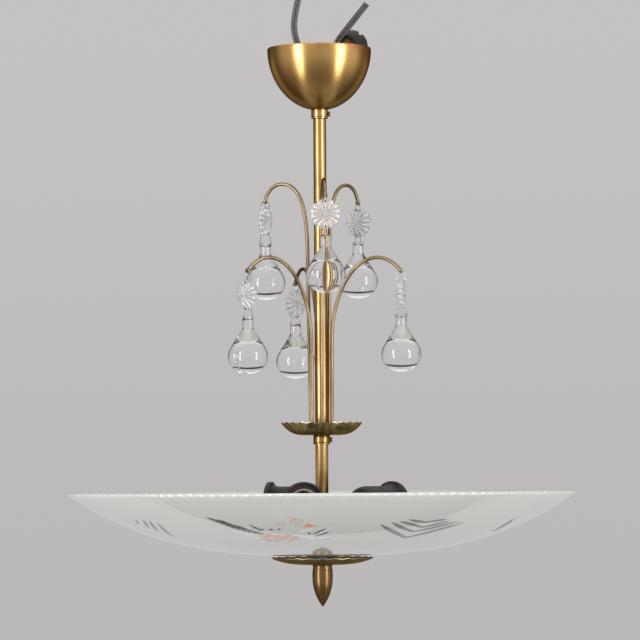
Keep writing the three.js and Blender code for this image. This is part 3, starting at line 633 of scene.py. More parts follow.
# %% Hanging loop
RING_TOP_Z, RING_BOTTOM_Z = -38.1, -45.1
LOOP_INNER, LOOP_THICK, LOOP_WIDTH, LOOP_EASE = 7.05, 2.4, 7.0, 0.4
GRIP_R = HOLE_R + 3
middle_r = LOOP_INNER + LOOP_THICK / 2
arch_z = -LOOP_INNER
foot_z = (RING_TOP_Z + RING_BOTTOM_Z) / 2
turns = [math.pi * k / 24 for k in range(25)]
strap_line = [(0, middle_r, foot_z), (0, middle_r, foot_z + 4), (0, middle_r, arch_z - 2)]
strap_line += [(0, middle_r * math.cos(t), arch_z + middle_r * math.sin(t)) for t in turns]
strap_line += [(0, -middle_r, arch_z - 2), (0, -middle_r, foot_z + 4), (0, -middle_r, foot_z)]
half_w, half_t = LOOP_WIDTH / 2, LOOP_THICK / 2
inner_w, inner_t = half_w - LOOP_EASE, half_t - LOOP_EASE
flat_bar = [(-inner_w, -half_t), (inner_w, -half_t), (half_w, -inner_t), (half_w, inner_t),
            (inner_w, half_t), (-inner_w, half_t), (-half_w, inner_t), (-half_w, -inner_t)]
strap = as_object("loop_strap", swept(strap_line, flat_bar, Vector((1, 0, 0))))
ring_profile = [(HOLE_R, RING_BOTTOM_Z), (GRIP_R, RING_BOTTOM_Z), (GRIP_R, RING_TOP_Z),
                (HOLE_R, RING_TOP_Z)]
grip = as_object("loop_grip", turned(eased(ring_profile, 0.4, 2)))
loop = combined(strap, [grip], "UNION")
finished(loop, steel, "stem", "steel", "hanging_loop")
print("the hook bears at z = 0, under", LOOP_THICK, "mm of strap")

# %% [markdown]
# The two saucers are pressed from sheet brass: flat in the middle, then rising to the edge
# in 24 flutes that grow deeper outwards. A displaced disc would blur the crests, so each
# point's height is worked out from its angle and radius. The edge is scalloped a little,
# because the flutes end square to it.

# %% Fluted saucers
FLUTES = 24
SHEET = 0.8
RISE_POWER = 2.6


def saucer(radius, flat_r, hole_r, bottom_z, depth, flute):
    """A fluted sheet disc. A share of -1 is the hole, 0 the end of the flat, 1 the edge."""
    per_flute, steps = 10, 22
    columns = FLUTES * per_flute

    def point(k, share, lift):
        turn = 2 * math.pi * k / columns
        wave = math.cos(FLUTES * turn)
        crest = math.copysign(abs(wave) ** 0.7, wave)
        r = flat_r + (radius - flat_r) * share
        if share < 0:
            r = hole_r
        else:
            r -= flute * 0.45 * share ** 6 * (0.5 - 0.5 * wave)
        rise = max(share, 0)
        z = bottom_z + (depth - flute / 2 - SHEET) * rise ** RISE_POWER
        z += crest * flute / 2 * rise ** 0.8 + lift
        return (r * math.cos(turn) * MM, r * math.sin(turn) * MM, z * MM)

    def ring(share, lift):
        return [point(k, share, lift) for k in range(columns)]

    shares = [-1] + [s / steps for s in range(steps + 1)]
    under = [ring(share, 0) for share in shares]
    over = [ring(share, SHEET) for share in shares[::-1]]
    return skin(under + over, wrap_rows=True)


SPRAY_R, SPRAY_DEPTH, SPRAY_FLUTE = 40, 12.7, 1.1
SPRAY_HUB_R = 15.2
upper = as_object("upper_fluted_saucer", saucer(
    SPRAY_R, SPRAY_HUB_R + 0.3, HOLE_R, SPRAY_BOTTOM_Z, SPRAY_DEPTH, SPRAY_FLUTE))
finished(upper, pressed_brass, "spray", "aged_brass", "spray_saucer")
print("upper saucer:", len(upper.data.polygons), "faces")

# %% [markdown]
# In the upper saucer lies a small turned hub, and the feet of the six arms stand in its
# sockets. Only its stepped top shows between the arms.

# %% Spray hub
HUB_LOW, HUB_HIGH = -368.5, -360.5
HUB_STEP_R = SPRAY_HUB_R - 1
hub_profile = [(HOLE_R, HUB_LOW), (SPRAY_HUB_R, HUB_LOW), (SPRAY_HUB_R, HUB_LOW + 5),
               (HUB_STEP_R, HUB_LOW + 5.8), (HUB_STEP_R, HUB_HIGH), (HOLE_R, HUB_HIGH)]
hub = as_object("spray_turned_hub", turned(eased(hub_profile, 0.5)))
finished(hub, dark_brass, "spray", "dark_brass", "spray_hub")
print("hub top at", HUB_HIGH, "mm")

# %% [markdown]
# Each arm is 3.5 mm brass wire: straight up from the hub, over in a long bow, and down to an
# end that is hammered to a flat round eye and drilled. Three are tall and three are low, and
# no two face the same way, so a form gives the bend and a row of the table gives each arm
# its place. The eye is a small disc welded to the wire's end, and its hole is a second cut.

# %% Arms
ARM_R, ARM_FOOT_R, ARM_FOOT_Z = 1.75, 11.0, -366.2
EYE_R, EYE_THICK, EYE_HOLE_R = 2.3, 2.6, 1.0
DISH_RIM_Z = -425.7
TALL = {"apex_z": 306, "apex_r": 40.6, "start_r": 13.3, "drop": 80, "rise": 50, "run": 22.6,
        "out": 17, "down": 17, "over": 9.4, "fall": 8.5, "back": 1.1}
LOW = {"apex_z": 230.5, "apex_r": 58.9, "start_r": 11.2, "drop": 80, "rise": 35, "run": 30,
       "out": 24.5, "down": 13.7, "over": 11, "fall": 5.7, "back": 4.4}
# Form, azimuth, azimuth of the rosette, how far it sits low, and the two hanging lengths
ARMS = [
    (TALL, 162, 161, 0, 19.4, 21.8),
    (LOW, 211, 218, 0, 24.5, 19.9),
    (LOW, 108, 144, 6.7, 20.5, 18.5),
    (TALL, -85, -90, 0, 18, 20.3),
    (TALL, 49, 58, 0, 20, 19),
    (LOW, -19, -4, 0, 24, 18.6),
]


def bezier(a, b, c, d, steps):
    """Points on a curve from a to d that leaves towards b and arrives from c."""
    a, b, c, d = Vector(a), Vector(b), Vector(c), Vector(d)
    line = []
    for t in (k / steps for k in range(steps + 1)):
        near = a * (1 - t) ** 3 + b * 3 * t * (1 - t) ** 2
        line.append(near + c * 3 * t * t * (1 - t) + d * t ** 3)
    return line


def arm_line(form, sink):
    """The arm's own upright plane: x is the distance from the stem."""
    top = DISH_RIM_Z + form["apex_z"] - sink
    start = (form["start_r"], 0, top - form["drop"])
    apex = (form["apex_r"], 0, top)
    tip = (form["apex_r"] + form["out"], 0, top - form["down"])
    bow = bezier(start, (start[0], 0, start[2] + form["rise"]),
                 (apex[0] - form["run"], 0, top), apex, 30)
    hook = bezier(apex, (apex[0] + form["over"], 0, top),
                  (tip[0] - form["back"], 0, tip[2] + form["fall"]), tip, 14)
    rod = [Vector((ARM_FOOT_R, 0, ARM_FOOT_Z)).lerp(Vector(start), k / 8) for k in range(8)]
    return [*rod, *bow, *hook[1:]], Vector(tip)


def make_arm(number, form, azimuth, face, sink):
    """One arm with its drilled eye; gives back the place of its tip."""
    line, tip = arm_line(form, sink)
    turn = Matrix.Rotation(math.radians(azimuth), 4, "Z")
    wire = moved(swept(line, circle(ARM_R), Vector((0, 1, 0))), turn)
    rod = as_object(f"arm_{number}_wire", wire)
    at_tip = Matrix.Translation(turn @ tip) @ Matrix.Rotation(math.radians(face), 4, "Z")
    at_tip = at_tip @ Matrix.Rotation(math.pi / 2, 4, "Y")
    combined(rod, [as_object("eye", moved(eye_form, at_tip))], "UNION")
    combined(rod, [as_object("drill", moved(eye_drill, at_tip))])
    finished(rod, arm_brass, "spray", "aged_brass", f"arm_{number}", angle=50)
    return turn @ tip


eye_half = EYE_THICK / 2
eye_form = turned([(0, -eye_half), (EYE_R - 0.4, -eye_half), (EYE_R, -eye_half + 0.5),
                   (EYE_R, eye_half - 0.5), (EYE_R - 0.4, eye_half), (0, eye_half)], 24)
eye_drill = turned([(0, -5), (EYE_HOLE_R, -5), (EYE_HOLE_R, 5), (0, 5)], 16)
tips = [make_arm(i + 1, form, azimuth, face, sink)
        for i, (form, azimuth, face, sink, _, _) in enumerate(ARMS)]
print("arm tips in mm:", [[round(v, 1) for v in tip] for tip in tips])

# %% [markdown]
# From each arm hangs a pressed rosette with 14 petals, and from that a solid drop, both of
# clear glass and joined by bent wire. Clear glass shows what stands around it more than
# itself, so its shape has to be closed and smooth, and the light round it matters more than
# its colour. A faint ripple and some handling marks keep it from looking like a computer's.
# Pressed glass also looks a little milky, and its grooves get a painted shade of darker grey.
# A mask from noise would miss them, so the mesh says for each of its points how high it lies on
# its petal.

# %% Finishes: clear glass and pressed glass
clear_glass, tree, shader = new_material(
    "clear_glass", Base_Color=(0.98, 0.99, 0.99, 1), Transmission_Weight=1.0, IOR=1.52)
marks = effect(tree, patch_group, Scale=120.0, From=0.5, To=0.75)
wired(tree, shader, Roughness=spread(tree, marks, 0.0, 0.03),
      Normal=bumped(tree, marks, 0.0001, 0.15))

pressed_glass, tree, shader = new_material(
    "pressed_glass", Transmission_Weight=0.65, IOR=1.45, Coat_Weight=1.0, Coat_Roughness=0.02)
marks = effect(tree, patch_group, Scale=260.0, From=0.35, To=0.7)
# Painted shade: the petals' grooves are painted a darker grey than their crests
crest = add(tree, "ShaderNodeAttribute", {"attribute_name": "crest"}).outputs["Fac"]
groove = add(tree, "ShaderNodeMapRange", Value=crest, From_Min=0.2, From_Max=0.6).outputs[0]
pale = mixed(tree, marks, (1.0, 1.0, 0.99, 1), (0.95, 0.96, 0.95, 1))
wired(tree, shader,
      Base_Color=mixed(tree, groove, (0.68, 0.68, 0.67, 1), pale),
      Roughness=spread(tree, marks, 0.0, 0.04),
      Normal=bumped(tree, marks, 0.0001, 0.3))
print("finishes:", clear_glass.name, pressed_glass.name)

# %% Rosette: its form, and a mark for the painted shade in its grooves
ROSETTE_R, ROSETTE_THICK, ROSETTE_EDGE, PETALS = 15.0, 9.2, 2.4, 14
PETAL_CUT, PETAL_GROOVE = 1.5, 1.5


def crest_height(turn):
    """How high a point is on its petal: 1 along the middle, 0 in the groove."""
    return abs(math.cos(PETALS * turn / 2)) ** 0.55


def rosette_shape():
    """A glass button facing X, pressed into petals, and how high each point is on its petal."""
    per_petal, steps = 8, 14
    columns = PETALS * per_petal

    def point(k, share, side):
        turn = 2 * math.pi * k / columns
        crest = crest_height(turn)
        r = ROSETTE_R * share - PETAL_CUT * (1 - crest) * share ** 4
        fullness = math.sqrt(max(0, 1 - share ** 2))
        dome = (ROSETTE_EDGE + (ROSETTE_THICK - ROSETTE_EDGE) * fullness) / 2
        groove = PETAL_GROOVE * (1 - crest) * min(1, share / 0.3) * (1 - 0.55 * share ** 3)
        return (side * (dome - groove) * MM, r * math.sin(turn) * MM, r * math.cos(turn) * MM)

    rims = [1 - (1 - k / steps) ** 1.6 for k in range(1, steps + 1)]
    front = [[point(k, share, 1) for k in range(columns)] for share in rims]
    back = [[point(k, share, -1) for k in range(columns)] for share in rims[::-1]]
    middle = ROSETTE_THICK / 2 * MM
    ring = [crest_height(2 * math.pi * k / columns) for k in range(columns)]
    crests = [1.0] + ring * (len(front) + len(back)) + [1.0]
    return skin([[(middle, 0, 0)], *front, *back, [(-middle, 0, 0)]]), crests


rosette_form, petal_marks = rosette_shape()
print("rosette:", len(rosette_form[1]), "faces,", PETALS, "petals")

# %% Drop: belly, shoulder and neck
DROP_R, DROP_HEIGHT, DROP_BELLY, DROP_SHOULDER, DROP_NECK_R = 19.7, 57.0, 17.0, 18.0, 5.3
SHOULDER_TURN = 30


def drop_shape():
    """A quarter ellipse for the belly, an arc for the shoulder, and a slope into the neck."""
    belly_z = DROP_BELLY - DROP_HEIGHT
    turns = [math.radians(90 * k / 24) for k in range(25)]
    lower = [(DROP_R * math.sin(t), belly_z - DROP_BELLY * math.cos(t)) for t in turns]
    turns = [math.radians(SHOULDER_TURN * k / 10) for k in range(1, 11)]
    upper = [(DROP_R * math.cos(t), belly_z + DROP_SHOULDER * math.sin(t)) for t in turns]
    r, z = upper[-1]
    slope = DROP_R / DROP_SHOULDER * math.tan(math.radians(SHOULDER_TURN))
    neck_z = z + (r - DROP_NECK_R) / slope
    neck = [(DROP_NECK_R + 0.9, neck_z - 1.2), (DROP_NECK_R + 0.2, neck_z + 0.8),
            (DROP_NECK_R, neck_z + 2.4), (DROP_NECK_R, -1.2), (DROP_NECK_R - 0.5, -0.3),
            (DROP_NECK_R - 1.4, 0), (0, 0)]
    return turned([*lower, *upper, *neck], 72)


drop_form = drop_shape()
print("drop:", len(drop_form[1]), "faces,", DROP_HEIGHT, "mm high")

# %% Wire links, and glass with holes for them
WIRE_R, WIRE_CORNER = 0.35, 1.2
GLASS_HOLE_R = 1.3
hole_form = turned([(0, -25), (GLASS_HOLE_R, -25), (GLASS_HOLE_R, 25), (0, 25)], 16)


def wire_shape(top_z, top_half, bottom_z, bottom_half):
    """A closed loop of wire with four rounded corners, wider or narrower at its foot."""
    corners = [Vector(p) for p in ((top_half, 0, top_z), (-top_half, 0, top_z),
                                   (-bottom_half, 0, bottom_z), (bottom_half, 0, bottom_z))]
    line = []
    for i, corner in enumerate(corners):
        before, after = corners[i - 1] - corner, corners[(i + 1) % 4] - corner
        a = corner + before.normalized() * WIRE_CORNER
        b = corner + after.normalized() * WIRE_CORNER
        for t in (0, 0.25, 0.5, 0.75, 1):
            line.append(a * (1 - t) ** 2 + corner * 2 * t * (1 - t) + b * t * t)
    return swept(line, circle(WIRE_R, 8), Vector((0, 1, 0)), closed=True)


def drilled(name, form, at, z, hole_heights, marks=()):
    """A glass piece at a height from the arm's tip, with a hole through it for each wire."""
    glass = as_object(name, moved(form, at @ Matrix.Translation((0, 0, z))))
    if marks:
        crest_mark = glass.data.attributes.new("crest", "FLOAT", "POINT")
        crest_mark.data.foreach_set("value", marks)
    across = Matrix.Rotation(math.pi / 2, 4, "Y")
    drills = []
    for height in hole_heights:
        through = at @ Matrix.Translation((0, 0, height)) @ across
        drills.append(as_object("drill", moved(hole_form, through)))
    return combined(glass, drills)


print("link wire is", 2 * WIRE_R, "mm thick")

# %% Hang rosettes and drops from the arms
ROSETTE_HOLE_R, DROP_HOLE_INSET = ROSETTE_R - 2.7, 3.2
ROSETTE_HALF, NECK_HALF = 4.12, 6.55
EYE_HANG, GLASS_HANG = 0.35, 0.65
for i, (_, _, face, _, to_rosette, to_drop) in enumerate(ARMS):
    number = i + 1
    at = Matrix.Translation(tips[i]) @ Matrix.Rotation(math.radians(face), 4, "Z")
    upper_hole, lower_hole = ROSETTE_HOLE_R - to_rosette, -ROSETTE_HOLE_R - to_rosette
    button = drilled(f"rosette_{number}_glass", rosette_form, at, -to_rosette,
                     (upper_hole, lower_hole), petal_marks)
    finished(button, pressed_glass, f"rosette_{number}", "clear_glass", f"rosette_{number}")
    drop_top = -to_rosette - to_drop
    drop_hole = drop_top - DROP_HOLE_INSET
    bead = drilled(f"drop_{number}_glass", drop_form, at, drop_top, (drop_hole,))
    finished(bead, clear_glass, f"drop_{number}", "clear_glass", f"drop_{number}")
    wires = (
        (f"arm_link_{number}", f"rosette_{number}", -EYE_HANG, ROSETTE_HALF,
         upper_hole + GLASS_HANG, ROSETTE_HALF),
        (f"drop_link_{number}", f"drop_{number}", lower_hole - GLASS_HANG, ROSETTE_HALF,
         drop_hole + GLASS_HANG, NECK_HALF),
    )
    for name, body, *ends in wires:
        wire = as_object(f"{name}_wire", moved(wire_shape(*ends), at))
        finished(wire, dark_wire, body, "steel", name)
print("hung", len(ARMS), "rosettes and drops")

# %% [markdown]
# The dish is a slumped disc of glass, half a metre across. Its inside is etched to a satin,
# its outside is polished, and small nicks are ground into the rim. Full refraction through
# both faces would be slow and noisy. A satin body with a clear coat gives the same look: the
# body is the etched side, and the coat is the polished one with its mirror at low angles.

# %% Finishes: etched glass outside and inside, and its ground edge
def etched_tone(tree):
    """The cloudy green-white of etched glass."""
    cloud = effect(tree, patch_group, Scale=9.0, From=0.3, To=0.75)
    return mixed(tree, cloud, (0.83, 0.855, 0.80, 1), (0.80, 0.83, 0.785, 1))


etched_glass, tree, shader = new_material(
    "etched_glass", Transmission_Weight=0.08, IOR=1.5, Coat_Weight=1.0, Coat_Roughness=0.03,
    Coat_IOR=1.5)
grain = effect(tree, patch_group, Scale=1500.0, From=0.3, To=0.7)
wired(tree, shader,
      Base_Color=etched_tone(tree),
      Roughness=spread(tree, grain, 0.42, 0.55),
      Normal=bumped(tree, grain, 0.00002, 0.2))

inner_glass, tree, shader = new_material("etched_glass_inside", Transmission_Weight=0.08, IOR=1.5)
grain = effect(tree, patch_group, Scale=1500.0, From=0.3, To=0.7)
settled = effect(tree, dust_group, Amount=0.12, Scale=700.0)
wired(tree, shader,
      Base_Color=mixed(tree, settled, etched_tone(tree), (0.55, 0.53, 0.48, 1)),
      Roughness=spread(tree, grain, 0.5, 0.65),
      Normal=bumped(tree, grain, 0.00003, 0.4))

edge_glass, tree, shader = new_material("ground_glass_edge", Transmission_Weight=0.25, IOR=1.5)
grain = effect(tree, patch_group, Scale=300.0, From=0.35, To=0.65)
wired(tree, shader,
      Base_Color=mixed(tree, grain, (0.90, 0.93, 0.88, 1), (0.82, 0.87, 0.81, 1)),
      Roughness=spread(tree, grain, 0.08, 0.25), Normal=bumped(tree, grain, 0.0001, 0.5))
print("finishes:", etched_glass.name, inner_glass.name, edge_glass.name)

# %% Glass dish
DISH_R, DISH_DEPTH, DISH_WALL = 250.0, 63.0, 4.5
DISH_LIP, DISH_CURVE, DISH_HOLE_R = 2.5, 2.8, 9.0
DISH_BOTTOM_Z = DISH_RIM_Z - DISH_DEPTH
DISH_RISE = DISH_DEPTH - DISH_LIP
NICKS = 150
NICK_DEPTH = 1.0


def dish_outside(r):
    """The height of the outer face at a radius."""
    return DISH_BOTTOM_Z + DISH_RISE * (r / DISH_R) ** DISH_CURVE


def dish_slope(r):
    """How steeply the outer face climbs at a radius."""
    return DISH_RISE * DISH_CURVE / DISH_R * (r / DISH_R) ** (DISH_CURVE - 1)


def dish_inside(r):
    """The inner face, one wall thickness along the normal from the outer face."""
    slope = dish_slope(r)
    length = math.hypot(1, slope)
    return r - slope / length * DISH_WALL, dish_outside(r) + DISH_WALL / length


def dish_shape():
    """The outer face, the lip with its nicks, and the inner face, as one closed skin."""
    nick = (0.0, 0.75, 1.0, 0.75)
    columns = NICKS * len(nick)

    def ring(r, z, nicked=0.0):
        row = []
        for k in range(columns):
            turn = 2 * math.pi * k / columns
            cut = nick[k % len(nick)] * nicked
            row.append(((r - cut) * math.cos(turn) * MM, (r - cut) * math.sin(turn) * MM,
                        (z - cut * 0.15) * MM))
        return row

    radii = [DISH_HOLE_R + (DISH_R - DISH_HOLE_R) * (k / 36) ** 0.9 for k in range(37)]
    outer = [ring(r, dish_outside(r)) for r in radii[:-1]]
    outer.append(ring(DISH_R - 1.3, dish_outside(DISH_R - 1.3)))
    lip = [ring(DISH_R, DISH_RIM_Z - DISH_LIP, NICK_DEPTH * 0.8),
           ring(DISH_R, DISH_RIM_Z - 1.2, NICK_DEPTH),
           ring(DISH_R - 0.5, DISH_RIM_Z - 0.2, NICK_DEPTH * 0.8),
           ring(DISH_R - 1.1, DISH_RIM_Z, NICK_DEPTH * 0.3),
           ring(DISH_R - 2.6, DISH_RIM_Z)]
    inner = [ring(r, z) for r, z in (dish_inside(r) for r in reversed(radii))
             if z < DISH_RIM_Z - 1 and r > DISH_HOLE_R]
    inner.append(ring(DISH_HOLE_R, DISH_BOTTOM_Z + DISH_WALL))
    return skin(outer + lip + inner, wrap_rows=True)


dish = as_object("etched_dish", dish_shape())
finished(dish, etched_glass, "stem", "frosted_glass", "glass_dish", angle=28)
dish.data.materials.append(inner_glass)
dish.data.materials.append(edge_glass)
for face in dish.data.polygons:
    r = math.hypot(face.center.x, face.center.y) / MM
    if r > DISH_R - 2.7 and face.normal.z > -0.5:
        face.material_index = 2
    elif face.normal.z > 0.3:
        face.material_index = 1
print("dish:", len(dish.data.polygons), "faces,", NICKS, "nicks in its rim")

# %% [markdown]
# The dish is decorated outside with cut chevrons and with small painted sprays of flowers,
# and the same again on the far side. They could be masks in the glass finish, but a mask is
# only as sharp as the picture that it is baked to. Here each mark is a thin skin of enamel
# or cut glass, a stroke that swells and tapers and follows the curve of the dish. The cuts
# are coloured dark grey, a painted shade for the dim inside of the dish seen through them.

# %% Finishes: enamels and cut lines
def enamel(name, light, dark, rough=0.35):
    """A glossy fired colour with soft specks in it."""
    material, tree, shader = new_material(name, Coat_Weight=1.0, Coat_Roughness=0.04)
    marks = effect(tree, patch_group, Scale=420.0, From=0.3, To=0.7)
    wired(tree, shader, Base_Color=mixed(tree, marks, light, dark),
          Roughness=spread(tree, marks, rough, rough + 0.15),
          Normal=bumped(tree, marks, 0.00004, 0.3))
    return material


enamels = {
    # Painted shade: the cut lines are dark grey for the dim inside of the dish seen through the
    # clear cuts
    "cut": enamel("cut_line_painted_shade", (0.17, 0.18, 0.17, 1), (0.32, 0.33, 0.32, 1)),
    "leaf": enamel("leaf_grey", (0.10, 0.115, 0.11, 1), (0.17, 0.19, 0.18, 1)),
    "black": enamel("enamel_black", (0.03, 0.032, 0.033, 1), (0.07, 0.07, 0.07, 1)),
    "pink": enamel("enamel_pink", (0.78, 0.42, 0.37, 1), (0.80, 0.58, 0.52, 1)),
    "rose": enamel("enamel_rose", (0.80, 0.56, 0.50, 1), (0.78, 0.64, 0.58, 1)),
    "orange": enamel("enamel_orange", (0.80, 0.34, 0.17, 1), (0.82, 0.48, 0.3, 1)),
    "green": enamel("enamel_green", (0.66, 0.70, 0.48, 1), (0.60, 0.66, 0.46, 1)),
    "white": enamel("enamel_white", (0.86, 0.87, 0.86, 1), (0.80, 0.82, 0.81, 1)),
}
print("enamels:", list(enamels))

# %% [markdown]
# A stroke starts as a flat line on the plan of the dish. It is cut into short steps, each
# step gets a left and a right edge, and every point is then dropped on to the outer face of
# the glass and lifted a little off it. A curve wrapped on to the dish would do for a plain
# line, but these swell, taper and may have teeth, so their points are worked out.

# %% Strokes that follow the dish
SKIN_HIGH, SKIN_LOW = 0.25, -0.05
STROKE_STEP = 2.5


def on_dish(p, lift):
    """The point over p on the dish's outer face, lifted off the glass, in metres."""
    r = p.length
    slope = dish_slope(r)
    out = Vector((p.x / r * slope, p.y / r * slope, -1)) / math.hypot(1, slope)
    return tuple((Vector((p.x, p.y, dish_outside(r))) + out * lift) * MM)


def stroke(line, width, start_share=0.1, end_share=0.1, teeth=0):
    """A closed ribbon along line, widest at its middle, with a jagged edge if it has teeth."""
    line = [Vector(p) for p in line]
    dense = []
    for a, b in zip(line, line[1:]):
        steps = max(2, int((b - a).length / STROKE_STEP))
        dense += [a.lerp(b, s / steps) for s in range(steps)]
    dense.append(line[-1])
    rows = []
    for i, point in enumerate(dense):
        share = i / (len(dense) - 1)
        along = (dense[min(i + 1, len(dense) - 1)] - dense[max(i - 1, 0)]).normalized()
        side = Vector((-along.y, along.x))
        swell = math.sin(math.pi * share) ** 0.7
        half = width / 2 * max(swell, start_share if share < 0.5 else end_share)
        jag = 0.4 * half * (i % 2) if teeth and 0.1 < share < 0.9 else 0
        left, right = point + side * (half - jag), point - side * (half - jag)
        rows.append((left, point, right))
    verts = [on_dish(p, lift) for lift in (SKIN_LOW, SKIN_HIGH) for row in rows for p in row]
    faces = []
    layer = len(rows) * 3
    for i in range(len(rows) - 1):
        for j in range(2):
            a = i * 3 + j
            faces.append((a, a + 1, a + 4, a + 3))
            b = a + layer
            faces.append((b, b + 3, b + 4, b + 1))
        for j in (0, 2):
            a = i * 3 + j
            faces.append((a, a + 3, a + 3 + layer, a + layer))
    for a in (0, layer - 3):
        for j in range(2):
            faces.append((a + j, a + j + 1, a + j + 1 + layer, a + j + layer))
    return verts, faces


def decorate(name, strokes, finish, turn):
    """Merge strokes into one piece, turned round the stem by an angle in degrees."""
    verts, faces = [], []
    rotate = Matrix.Rotation(math.radians(turn), 2)
    for line, width, *rest in strokes:
        new_verts, new_faces = stroke([rotate @ Vector(p) for p in line], width, *rest)
        faces += [tuple(v + len(verts) for v in face) for face in new_faces]
        verts += new_verts
    thing = as_object(name, (verts, faces))
    return finished(thing, enamels[finish], "stem", "frosted_glass")


print("a stroke is cut into steps of about", STROKE_STEP, "mm")

# %% Chevrons: four nested, cut into the glass, and slanted cuts at the sides
# Points on the plan of the dish in mm, and the stroke's width. A chevron is two strokes that
# meet at its apex, the middle point of its row.
CHEVRONS = [
    ((54.5, -194.4), (66.4, -172.9), (78.8, -148.8), (106.5, -152.6), (133.5, -154.3), 5.2),
    ((65.1, -195.5), (75.7, -177.7), (85.3, -163.9), (107.1, -162.2), (127.8, -161.9), 4.5),
    ((72.5, -194.9), (83.1, -183.9), (93.5, -170.8), (106.9, -169.6), (120.1, -169.1), 4.2),
    ((80.6, -195.2), (88.6, -187.9), (96.9, -180.9), (106.6, -178.6), (117.2, -175.4), 3.8),
]
SLANTS = [
    ((-157, -133.4), (-154.9, -128.9), (-148.3, -106.4), (-143, -95.4), 3.6),
    ((-164.3, -130.9), (-161.6, -116.2), (-158.2, -98.7), 3.4),
    ((-170.5, -124.1), (-168.9, -115), (-166.6, -102.1), 3.2),
    ((-178.5, -112.5), (-177.5, -107), (-176.5, -101), 2.8),
]
HALVES = (0, 180)
for half in HALVES:
    strokes = []
    for left, left_middle, apex, right_middle, right, width in CHEVRONS:
        strokes.append(((left, left_middle, apex), width, 0.1, 0.75))
        strokes.append(((right, right_middle, apex), width * 1.15, 0.1, 0.6))
    decorate(f"chevrons_{half}", strokes, "cut", half)
    slanted = [(line, width, 0.25, 0.1) for *line, width in SLANTS]
    decorate(f"slanted_cuts_{half}", slanted, "cut", half)
print("chevrons in each group:", len(CHEVRONS))

# %% [markdown]
# The sprays are this file's own arrangement of plain leaves, buds and petals, in the colours
# of such painted glass. They are built from the same strokes, and a flower is a ring of them.

# %% Sprays of flowers: leaves, buds and petals in enamel
def petals(centre, reach, count, width, start=0.0):
    """A ring of short strokes round a centre."""
    cx, cy = centre
    out = []
    for k in range(count):
        t = start + 2 * math.pi * k / count
        near = (cx + 0.25 * reach * math.cos(t), cy + 0.25 * reach * math.sin(t))
        far = (cx + reach * math.cos(t), cy + reach * math.sin(t))
        out.append(((near, far), width, 0.2, 0.3))
    return out


SPRAY = {
    "leaf": [
        (((-108, -188), (-93, -185), (-80, -180), (-68, -175.5), (-55, -173)), 10, 0.1, 0.1, 1),
    ],
    "black": [
        (((-101, -185.5), (-94, -186.5), (-86, -185)), 2.6),
        (((-96, -189), (-90, -188)), 1.6),
        (((-88, -180), (-80, -178)), 1.6),
        (((-79, -184), (-72, -181)), 1.6),
        (((-68, -191), (-61, -185), (-57, -184)), 2.4),
        (((-60, -180), (-54, -186)), 1.8),
        (((-50, -186), (-45.5, -186)), 3.2),
        (((-42.5, -188.5), (-38.5, -188.5)), 2.6),
        (((-14, -181.4), (-10.5, -182)), 4),
        (((-9, -180), (-2, -188), (4, -194)), 1.8),
        (((-7, -175), (1, -181), (6, -187)), 1.8),
    ],
    "pink": petals((-48, -163), 13, 7, 6) + petals((-31, -167), 11, 6, 5.5, 0.4),
    "rose": petals((-39, -201), 6.5, 5, 3.4) + petals((-28, -212), 5.5, 5, 3.0, 0.6),
    "orange": [
        (((-18, -198), (-12, -200), (-5, -199.5)), 6, 0.2, 0.1),
        (((-17, -203), (-10, -203.5)), 3.2),
    ],
    "green": petals((-23, -208), 7, 5, 4.2, 0.2) + [(((-20, -196), (-28, -203)), 2.4)],
    "white": [
        (((-84, -170), (-70, -163), (-58, -160)), 2.4),
        (((-74, -172), (-62, -166)), 2.0),
        (((-78, -165), (-66, -158)), 1.8),
        (((-26, -176), (-14, -172), (-2, -176)), 2.4),
        (((-22, -184), (-12, -190), (-6, -199)), 2.0),
        (((-16, -168), (-4, -168), (8, -174)), 2.2),
        (((-4, -183), (4, -188), (10, -195)), 1.8),
    ],
}
SIDE_LEAF = ((183.5, -97.9), (180.2, -90.8), (175.2, -83.4), (168.5, -73.5), (164.4, -72.5))
for half in HALVES:
    for finish, strokes in SPRAY.items():
        decorate(f"spray_{finish}_{half}", strokes, finish, half)
    decorate(f"side_leaf_{half}", [(SIDE_LEAF, 5.5, 0.35, 0.1)], "black", half)
print("enamel pieces in each spray:", sum(len(s) for s in SPRAY.values()))

# %% [markdown]
# Three lampholders lie in the dish like a pinwheel, each on a short elbow from the hub on
# the stem. They are dark moulded plastic, dull with dust on top. Inside is a pale ceramic
# sleeve, whose colour is painted darker as a painted shade for how deep it sits, with a brass
# screw shell and contact. The real ones are round too, so all of them are turned profiles,
# laid on their side and put round the stem by one loop.

# %% Finishes: dark moulding, ceramic, rubber
bakelite, tree, shader = new_material("dark_moulding", IOR=1.33)
marks = effect(tree, patch_group, Scale=90.0, From=0.35, To=0.7)
scuffs = effect(tree, patch_group, Scale=900.0, From=0.5, To=0.62)
settled = effect(tree, dust_group, Amount=0.03, Scale=600.0)
body_colour = mixed(tree, marks, (0.021, 0.016, 0.017, 1), (0.036, 0.028, 0.029, 1))
wired(tree, shader,
      Base_Color=mixed(tree, settled, body_colour, (0.26, 0.25, 0.245, 1)),
      Roughness=spread(tree, marks, 0.32, 0.5),
      Normal=bumped(tree, scuffs, 0.00004, 0.5))

# Painted shade: the ceramic's own beige is painted darker for its place deep in the holders and
# the cap
ceramic, tree, shader = new_material("shaded_beige_ceramic", Coat_Weight=0.2, Coat_Roughness=0.2)
marks = effect(tree, patch_group, Scale=150.0, From=0.35, To=0.7)
wired(tree, shader,
      Base_Color=mixed(tree, marks, (0.34, 0.29, 0.25, 1), (0.25, 0.21, 0.175, 1)),
      Roughness=spread(tree, marks, 0.45, 0.65),
      Normal=bumped(tree, marks, 0.00006, 0.4))

